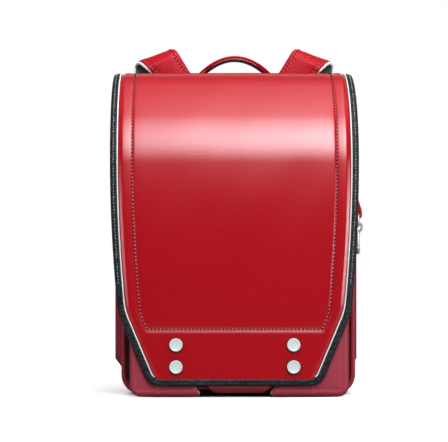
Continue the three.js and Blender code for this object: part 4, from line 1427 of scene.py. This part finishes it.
def belt_section(width, thick):
    """(sideways, upward) points round a strip with its corners cut."""
    w, h, r = width / 2, thick / 2, thick * 0.32
    return [(-w, -h + r), (-w + r, -h), (w - r, -h), (w, -h + r),
            (w, h - r), (w - r, h), (-w + r, h), (-w, h - r)]


class BACKPACK_OT_lower_straps(bpy.types.Operator):
    """Lower straps with their buckles and sewn patches"""

    bl_idname = "backpack.lower_straps"
    bl_label = "Lower Straps"

    def execute(self, context):
        section = belt_section(BELT_WIDTH, BELT_THICKNESS)
        for side, name in SIDES:
            path = belt_path(side)
            belt = tube(f"belt_{name}", path, belt_ups(path, side), section, strap_leather())
            declare(belt, "red_leather", f"lower_strap_{name}")
            buckle = softened_copy(f"buckle_frame_{name}", f"strap_buckle_{name}", silver(), 0.0012)
            declare(buckle, "silver_metal", f"strap_buckle_{name}")
            patch = softened_copy(f"belt_patch_{name}", f"strap_tab_{name}", strap_leather(), 0.0007)
            declare(patch, "red_leather", f"strap_tab_{name}")
        return {"FINISHED"}


def handle_rows():
    """Centre line, outward direction and width along the handle."""
    half = math.sqrt((HANDLE_APEX - HANDLE_FOOT_Z) / HANDLE_FALL)
    x = np.linspace(-half, half, 61)
    path = points_at(x + TOP_SHIFT, HANDLE_Y, HANDLE_APEX - HANDLE_FALL * x**2)
    out = unit(points_at(2 * HANDLE_FALL * x, 0.0, 1.0))
    narrowed = smoothstep(np.abs(x / half), 0.45, 0.78)
    width = HANDLE_WIDTH + (HANDLE_FOOT_WIDTH - HANDLE_WIDTH) * narrowed
    return path, out, width


def rounded_bar(half, low, high, r):
    """(sideways, upward) points round a bar with rounded corners."""
    side, foot, top = half - r, low + r, high - r
    points = []
    for k, (a, u) in enumerate(((-side, foot), (-side, top), (side, top), (side, foot))):
        for angle in np.radians(np.linspace(270, 180, 4) - 90 * k):
            points.append((a + r * math.cos(angle), u + r * math.sin(angle)))
    return points


class BACKPACK_OT_handle(bpy.types.Operator):
    """Moulded anchor plate and the layered handle on it"""

    bl_idname = "backpack.handle"
    bl_label = "Handle"

    def execute(self, context):
        anchor = softened_copy("anchor_moulding", "strap_anchor", black_plastic(), 0.0020, 4)
        declare(anchor, "black_plastic", "strap_anchor")
        path, out, width = handle_rows()
        parts = []
        indexes = []
        for k, (low, high, spread, r) in enumerate(HANDLE_LAYERS):
            rings = []
            for p, o, w in zip(path, out, width):
                section = rounded_bar(w / 2 + spread, low, high, r)
                rings.append([p + np.array([0, s, 0]) + o * u for s, u in section])
            part = loft(rings)
            parts.append(part)
            indexes.extend([k] * len(part[1]))
        finishes = [strap_leather(), red_leather(), black_leather()]
        piece = link_mesh("handle_layers", *joined(parts), finishes, indexes)
        declare(piece, "red_leather", "handle")
        return {"FINISHED"}


class BACKPACK_OT_back_pad(bpy.types.Operator):
    """Cushion on the wearer's side, swollen by a short cloth simulation and sewn into channels"""

    bl_idname = "backpack.back_pad"
    bl_label = "Back Pad"

    def execute(self, context):
        low, high = (np.array(corner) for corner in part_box("back_pad"))
        middle = (low + high) / 2
        shell = merged_solid("back_pad")
        for vert in shell.verts:
            vert.co = middle + (np.array(vert.co) - middle) * PAD_START
        mesh = bpy.data.meshes.new("back_cushion")
        shell.to_mesh(mesh)
        shell.free()
        piece = link_object("back_cushion", mesh)
        self.remesh(piece)
        self.inflate(piece)
        self.sew_channels(piece, low[1] + 0.0002)
        piece.data.materials.clear()
        piece.data.materials.append(air_mesh())
        piece.data.shade_smooth()
        rounding = piece.modifiers.new("Rounding", "SUBSURF")
        rounding.levels = 1
        rounding.render_levels = 1
        declare(piece, "mesh_grey", "back_pad")
        return {"FINISHED"}

    def remesh(self, piece):
        modifier = piece.modifiers.new("Remesh", "REMESH")
        modifier.mode = "VOXEL"
        modifier.voxel_size = PAD_VOXEL
        applied(piece, modifier)

    def inflate(self, piece):
        rest = np.array([v.co for v in piece.data.vertices])
        modifier = piece.modifiers.new("Cloth", "CLOTH")
        settings = modifier.settings
        settings.use_pressure = True
        settings.uniform_pressure_force = CLOTH_PRESSURE
        settings.effector_weights.gravity = 0.0
        settings.tension_stiffness = CLOTH_STIFFNESS
        settings.compression_stiffness = CLOTH_STIFFNESS
        modifier.collision_settings.use_collision = False
        scene = bpy.context.scene
        for step in range(1, CLOTH_STEPS + 1):
            scene.frame_set(step)
        evaluated = piece.evaluated_get(bpy.context.evaluated_depsgraph_get())
        swollen = np.array([v.co for v in evaluated.to_mesh().vertices])
        evaluated.to_mesh_clear()
        piece.modifiers.remove(modifier)
        scene.frame_set(1)
        moved = swollen - rest
        far = np.linalg.norm(moved, axis=1, keepdims=True)
        moved *= np.minimum(1, sizes().pad_swell / np.maximum(far, 1e-9))
        for vert, co in zip(piece.data.vertices, rest + moved):
            vert.co = co

    def sew_channels(self, piece, base):
        """Draw the face down to its sewn lines: two upright, and short ones across each side."""
        for vert in piece.data.vertices:
            x, y, z = vert.co
            sunk = bell(abs(x), CHANNEL_X, CHANNEL_WIDTH)
            if abs(x) > CHANNEL_X:
                sunk = max(sunk, *(bell(z, row, CHANNEL_WIDTH) for row in CHANNEL_ROWS))
            y = max(y, base)
            vert.co.y = y - (y - base) * CHANNEL_DEPTH * sunk


# Snap hook

class BACKPACK_OT_snap_hook(bpy.types.Operator):
    """Leather loop, ring, hook and sprung gate on the bag's side"""

    bl_idname = "backpack.snap_hook"
    bl_label = "Snap Hook"

    def execute(self, context):
        loop = softened_copy("hook_loop_leather", "hook_tab", red_leather(), 0.0005, 2)
        declare(loop, "red_leather", "hook_tab")
        self.make_ring()
        self.make_hook()
        self.make_gate()
        return {"FINISHED"}

    def make_ring(self):
        middle = RING_BAR_Z - RING_HEIGHT / 2
        side = RING_WIDTH / 2 - RING_CORNER
        rise = RING_HEIGHT / 2 - RING_CORNER
        points = []
        for k, (a, b) in enumerate(((1, 1), (-1, 1), (-1, -1), (1, -1))):
            for angle in np.linspace(k, k + 1, 9) * math.pi / 2:
                points.append((HOOK_X, HOOK_Y + a * side + RING_CORNER * math.cos(angle),
                               middle + b * rise + RING_CORNER * math.sin(angle)))
        piece = tube("ring_wire", points, (1, 0, 0), round_section(RING_WIRE, 12), silver(), closed=True)
        declare(piece, "silver_metal", "hook_ring")

    def make_hook(self):
        eye_z = RING_BAR_Z - RING_HEIGHT - EYE_DROP
        turn = np.linspace(0, 2 * math.pi, 36, endpoint=False)
        eye = points_at(HOOK_X + EYE_RADIUS * np.cos(turn), HOOK_Y, eye_z + EYE_RADIUS * np.sin(turn))
        parts = [loft(swept_rings(eye, BACKWARD, round_section(EYE_WIRE), closed=True), closed=True)]
        neck_top = eye_z - 0.0040
        neck_foot = LOOP_Z + 0.0100
        neck = [(0.0, neck_top), (0.0018, neck_top), (0.0026, neck_top - 0.0010), (0.0026, neck_top - 0.0024),
                (0.0022, neck_foot), (0.0, neck_foot)]
        points, faces = lathe(neck, 20)
        parts.append((points + np.array([HOOK_X, HOOK_Y, 0]), faces))
        bow = np.radians(np.linspace(200, 465, 60))
        path = points_at(HOOK_X, HOOK_Y + LOOP_HALF_WIDTH * np.cos(bow),
                         LOOP_Z + LOOP_HALF_HEIGHT * np.sin(bow))
        share = np.linspace(0, 1, 60)
        taper = np.sqrt(np.clip(share / 0.03, 0.05, 1)) * (1 - 0.12 * np.clip(1 - share / 0.3, 0, 1))
        outward = unit(path - np.array([HOOK_X, HOOK_Y, LOOP_Z]))
        parts.append(loft(swept_rings(path, outward, round_section(LOOP_WIRE, 12, 0.80), scale=taper)))
        piece = link_mesh("hook_casting", *joined(parts), [silver()])
        declare(piece, "silver_metal", "hook_body", body="snap_hook")

    def make_gate(self):
        z = np.linspace(LOOP_Z + 0.0111, LOOP_Z - 0.0042, 22)
        y = HOOK_Y - GATE_Y - 0.0005 * np.sin(math.pi * np.linspace(0, 1, 22))
        ends = np.sqrt(np.clip(np.minimum(z.max() - z, z - z.min()) / 0.0012 + 0.05, 0, 1))
        section = round_section(GATE_WIRE, 12, 0.72)
        piece = tube("gate_bar", points_at(HOOK_X, y, z), FORWARD, section, silver(), scale=ends)
        declare(piece, "silver_metal", "hook_gate", body="snap_hook_gate")


# Threads

def flap_rows(lift):
    x, t = panel_line()
    return [(flap_point(x, t, flap_relief(x, t) + lift), flap_up(t))]


def binding_rows(beside):
    """Threads on the binding: beside the flap, or round its foot."""
    x, t = whole_outline(sizes().binding_width * 0.5)
    if not beside:
        keep = t < BINDING_FOOT
        return [(flap_point(x[keep], t[keep], 0.0010), flap_up(t[keep]))]
    rows = []
    for side, _ in SIDES:
        keep = (t >= BINDING_FOOT) & (side * x > 0)
        rows.append((flap_point(x[keep], t[keep], 0.0011), flap_up(t[keep])))
    return rows


def body_rows():
    """Threads on the back panel's flange, the gusset edges and the pocket front."""
    rows = []
    z = np.linspace(0.040, BACK_TOP - 0.012, 60)
    for side, _ in SIDES:
        x = side * (back_half_width(z) - SEWN_INSET)
        rows.append((points_at(x, BACK_FACE_Y - 0.0003, z), BACKWARD))
        rows.append((points_at(x, BACK_FACE_Y - 0.0031, z), FORWARD))
    x, z, nx, nz = tub_path(BODY_HALF_WIDTH - 0.0003, 0.0003, BODY_TOP - 0.004, BODY_RADIUS)
    for y in (BODY_FRONT_Y + 0.006, BODY_BACK_Y - 0.006):
        rows.append((points_at(x, y, z), points_at(nx, 0.0, nz)))
    z = np.linspace(0.026, POCKET_TOP - 0.006, 60)
    for side, _ in SIDES:
        x = side * (POCKET_FACE_HALF - SEWN_INSET)
        rows.append((points_at(x, pocket_face_y(z) + 0.0002, z), FORWARD))
    return rows


def strap_thread_rows():
    rows = []
    for side, _ in SIDES:
        stations = strap_stations(side)
        ups = np.array([row[2] for row in stations])
        for across in STRAP_THREADS:
            rows.append((strap_points(stations, (across, strap_crown(across) + 0.02)), ups))
    return rows


def belt_thread_rows():
    rows = []
    for side, _ in SIDES:
        path = belt_path(side)
        ups = belt_ups(path, side)
        for across in (-BELT_THREAD_X, BELT_THREAD_X):
            for face in (-1, 1):
                rows.append((path + np.array([across, 0, 0]) + face * ups * BELT_THICKNESS / 2, face * ups))
    return rows


class BACKPACK_OT_threads(bpy.types.Operator):
    """Stitches along every sewn line, with dark beads between stitches that paint the shade of needle holes
    """

    bl_idname = "backpack.threads"
    bl_label = "Threads"

    def execute(self, context):
        pitch = sizes().stitch_pitch
        flap_stitch = (pitch * 0.62, 0.0012, 0.0009)
        straps = strap_thread_rows()
        self.sew("flap_stitches", flap_rows(0.0003), pitch, flap_stitch, pale_thread())
        self.sew("flap_needle_holes", flap_rows(0.0005), pitch, FLAP_HOLE_SHADE, needle_hole(), pitch / 2)
        self.sew("tape_side_stitches", binding_rows(True), TAPE_PITCH, TAPE_STITCH, grey_thread_painted_glints(),
                 slot="black_leather")
        # Threads round the tape's foot take the black tape's finish: painted shade, as they face down
        self.sew("tape_foot_stitches", binding_rows(False), TAPE_PITCH, TAPE_STITCH, black_leather(),
                 slot="black_leather")
        self.sew("body_stitches", body_rows(), SEAM_PITCH, SEAM_STITCH, red_thread())
        self.sew("strap_stitches", straps, SEAM_PITCH, SEAM_STITCH, red_thread())
        self.sew("strap_needle_holes", straps, SEAM_PITCH, STRAP_HOLE_SHADE, needle_hole(), SEAM_PITCH / 2)
        self.sew("belt_stitches", belt_thread_rows(), SEAM_PITCH, SEAM_STITCH, red_thread())
        return {"FINISHED"}

    def sew(self, name, rows, pitch, size, finish, shift=0.0, slot="red_leather"):
        """Beads along every row, as one piece."""
        values = {"Pitch": pitch, "Size": size, "Shift": shift, "Finish": finish}
        piece = grown(carrier(name, rows, chained=True), repeat_tree(), values)
        declare(piece, slot)


# Stage

WINDOW_ACROSS = ((-0.50, 0.36), (-0.15, 0.46), (0.0, 0.70), (0.15, 0.95), (0.30, 1.0), (0.50, 0.70))
WINDOW_RISE = (
    (0.415, 0.0), (0.55, 0.10), (0.673, 0.34), (0.794, 0.594), (0.909, 0.853), (1.025, 0.99), (1.142, 1.0),
    (1.268, 0.87), (1.402, 0.69), (1.553, 0.517), (1.646, 0.42),
)
HOOD_ACROSS = ((-0.45, 0.42), (-0.12, 0.54), (0.0, 0.74), (0.12, 1.0), (0.45, 1.0))
HOOD_DEPTH = ((-0.93, 1.0), (-0.59, 0.88), (-0.144, 0.54), (0.358, 0.25), (0.644, 0.10), (1.01, 0.02))
# Azimuth, elevation, distance, size, power, and whether glossy faces mirror the box
SOFT_BOXES = {
    "side_right": (50, -2, 1.40, (0.80, 0.22), 8.0, True),
    "side_left": (-50, -2, 1.40, (0.80, 0.22), 3.2, True),
    "over_right": (80, 58, 1.30, (0.40, 0.40), 16.0, False),
    "over_left": (-80, 58, 1.30, (0.40, 0.40), 14.0, False),
    "back_right": (130, 22, 2.60, (1.0, 1.2), 36.0, False),
    "back_left": (-130, 22, 2.60, (1.0, 1.2), 36.0, False),
}
LIGHT_AIM_Y = -0.09
LIGHT_AIM_Z = 0.28
LIGHT_COLOUR = (1.0, 0.955, 1.0)
WINDOW_COLOUR = (0.86, 0.955, 1.0)
CAMERA_PLACE = (-0.0691, -3.12, 0.1894)
CAMERA_TURN = math.radians(-1.0)
CAMERA_LENS = 224.8
CAMERA_SENSOR = 36
FLOOR_GAP = 0.0004
FLOOR_HALF = 9
FLOOR_SEEN = (0.70, 0.70, 0.70)
FLOOR_LIT = (0.18, 0.18, 0.18)


class BACKPACK_OT_stage(bpy.types.Operator):
    """Pale floor, soft studio lights and the camera"""

    bl_idname = "backpack.stage"
    bl_label = "Stage"

    def execute(self, context):
        scene = context.scene
        scene.view_settings.view_transform = "Standard"
        self.make_floor(CAD_BOX[0][2] - FLOOR_GAP)
        self.make_world(scene)
        window = self.add_light("window", 0, 33.5, 1.36, (1.00, 1.48), 97.0)
        window.color = WINDOW_COLOUR
        self.shade_light(window, (("X", WINDOW_ACROSS), ("Z", WINDOW_RISE)))
        hood = self.add_light("hood", 0, 95, 1.50, (0.90, 1.94), 27.0)
        self.shade_light(hood, (("X", HOOD_ACROSS), ("Y", HOOD_DEPTH)))
        for name, soft_box in SOFT_BOXES.items():
            self.add_light(name, *soft_box)
        camera = bpy.data.cameras.new("camera")
        camera.sensor_width = CAMERA_SENSOR
        camera.lens = CAMERA_LENS
        camera.clip_end = 50
        viewer = link_object("camera", camera)
        viewer.location = CAMERA_PLACE
        viewer.rotation_euler = (math.pi / 2, 0, CAMERA_TURN)
        scene.camera = viewer
        return {"FINISHED"}

    def add_light(self, name, azimuth, elevation, distance, size, power, mirrored=True):
        """A soft box aimed at the flap's bend, azimuth from the front towards the right."""
        azimuth = math.radians(azimuth)
        elevation = math.radians(elevation)
        lamp = bpy.data.lights.new(name, "AREA")
        lamp.shape = "RECTANGLE"
        lamp.size, lamp.size_y = size
        lamp.energy = power
        lamp.color = LIGHT_COLOUR
        light = link_object(name, lamp)
        flat = distance * math.cos(elevation)
        light.location = (flat * math.sin(azimuth), LIGHT_AIM_Y - flat * math.cos(azimuth),
                          LIGHT_AIM_Z + distance * math.sin(elevation))
        light.rotation_euler = (math.pi / 2 - elevation, 0, azimuth)
        light.visible_camera = False
        light.visible_glossy = mirrored
        return lamp

    def shade_light(self, lamp, ramps):
        """Vary a light's strength over its face, by stops along world axes."""
        lamp.use_nodes = True
        tree = lamp.node_tree
        place = add_node(tree, "ShaderNodeNewGeometry").outputs["Position"]
        axes = add_node(tree, "ShaderNodeSeparateXYZ", {0: place}).outputs
        strength = tree.nodes["Emission"].inputs["Strength"]
        for axis, stops in ramps:
            low, high = stops[0][0], stops[-1][0]
            share = ranged(tree, axes[axis], 0.0, 1.0, low, high)
            ramp = add_node(tree, "ShaderNodeValToRGB", {"Fac": share})
            elements = ramp.color_ramp.elements
            for at, _ in stops[1:-1]:
                elements.new((at - low) / (high - low))
            for element, (_, value) in zip(elements, stops):
                element.color = (value, value, value, 1)
            values = {0: ramp.outputs["Color"], 1: 1.0}
            product = add_node(tree, "ShaderNodeMath", values, operation="MULTIPLY")
            tree.links.new(product.outputs[0], strength)
            strength = product.inputs[1]

    def make_floor(self, height):
        corners = ((-1, -1), (1, -1), (1, 1), (-1, 1))
        points = [(x * FLOOR_HALF, y * FLOOR_HALF, height) for x, y in corners]
        floor = link_mesh("floor", points, [(0, 1, 2, 3)], [], closed_shell=False)
        material, tree, shader = new_material("pale_floor")
        shader.inputs["Roughness"].default_value = 0.75
        place = add_node(tree, "ShaderNodeTexCoord").outputs["Object"]
        reach = add_node(tree, "ShaderNodeVectorMath", {0: place}, operation="LENGTH").outputs["Value"]
        fade = ranged(tree, reach, 0.0, 1.0, 0.36, 1.15, interpolation_type="SMOOTHSTEP")
        seen = add_node(tree, "ShaderNodeLightPath").outputs["Is Camera Ray"]
        tinted(tree, seen, FLOOR_LIT, FLOOR_SEEN, shader)
        share = add_node(tree, "ShaderNodeMath", {0: fade, 1: seen}, operation="MULTIPLY").outputs[0]
        glow = add_node(tree, "ShaderNodeEmission", {"Color": WHITE})
        mix = add_node(tree, "ShaderNodeMixShader",
                       {"Fac": share, 1: shader.outputs["BSDF"], 2: glow.outputs["Emission"]})
        feed(tree, tree.nodes["Material Output"], {"Surface": mix.outputs["Shader"]})
        floor.data.materials.append(material)

    def make_world(self, scene):
        world = bpy.data.worlds.new("studio")
        world.use_nodes = True
        scene.world = world
        tree = world.node_tree
        place = add_node(tree, "ShaderNodeTexCoord").outputs["Generated"]
        axes = add_node(tree, "ShaderNodeSeparateXYZ", {0: place}).outputs
        rise = ranged(tree, axes["Z"], 0.03, 0.15, 0.15, 0.90)
        behind = ranged(tree, axes["Y"], 0.0, 0.7, 0.78, 1.0, interpolation_type="SMOOTHSTEP")
        total = add_node(tree, "ShaderNodeMath", {0: rise, 1: behind}, operation="ADD").outputs[0]
        dim = tree.nodes["Background"]
        feed(tree, dim, {"Color": WHITE, "Strength": total})
        bright = add_node(tree, "ShaderNodeBackground", {"Color": WHITE})
        seen = add_node(tree, "ShaderNodeLightPath").outputs["Is Camera Ray"]
        mix = add_node(tree, "ShaderNodeMixShader",
                       {"Fac": seen, 1: dim.outputs["Background"], 2: bright.outputs["Background"]})
        feed(tree, tree.nodes["World Output"], {"Surface": mix.outputs["Shader"]})


OPERATORS = (
    BACKPACK_OT_stage, BACKPACK_OT_flap, BACKPACK_OT_rivets, BACKPACK_OT_body, BACKPACK_OT_closure,
    BACKPACK_OT_shoulder_straps, BACKPACK_OT_lower_straps, BACKPACK_OT_handle, BACKPACK_OT_back_pad,
    BACKPACK_OT_snap_hook, BACKPACK_OT_threads,
)


class BACKPACK_PT_panel(bpy.types.Panel):
    """Sizes, colours and the making of each group of pieces"""

    bl_idname = "BACKPACK_PT_panel"
    bl_label = "School Backpack"
    bl_space_type = "VIEW_3D"
    bl_region_type = "UI"
    bl_category = "Backpack"

    def draw(self, context):
        layout = self.layout
        for group in (context.scene.backpack_sizes, context.scene.backpack_colours):
            box = layout.box()
            for name in group.bl_rna.properties.keys():
                if name not in ("rna_type", "name"):
                    box.prop(group, name)
        for operator in OPERATORS:
            layout.operator(operator.bl_idname)


CLASSES = (BackpackSizes, BackpackColours, *OPERATORS, BACKPACK_PT_panel)


def register():
    for cls in CLASSES:
        bpy.utils.register_class(cls)
    bpy.types.Scene.backpack_sizes = PointerProperty(type=BackpackSizes)
    bpy.types.Scene.backpack_colours = PointerProperty(type=BackpackColours)


def unregister():
    del bpy.types.Scene.backpack_colours
    del bpy.types.Scene.backpack_sizes
    for cls in reversed(CLASSES):
        bpy.utils.unregister_class(cls)


def main():
    register()
    bpy.ops.backpack.stage()
    bpy.ops.backpack.flap()
    bpy.ops.backpack.rivets()
    bpy.ops.backpack.body()
    bpy.ops.backpack.closure()
    bpy.ops.backpack.shoulder_straps()
    bpy.ops.backpack.lower_straps()
    bpy.ops.backpack.handle()
    bpy.ops.backpack.back_pad()
    bpy.ops.backpack.snap_hook()
    bpy.ops.backpack.threads()


if __name__ == "__main__":
    main()
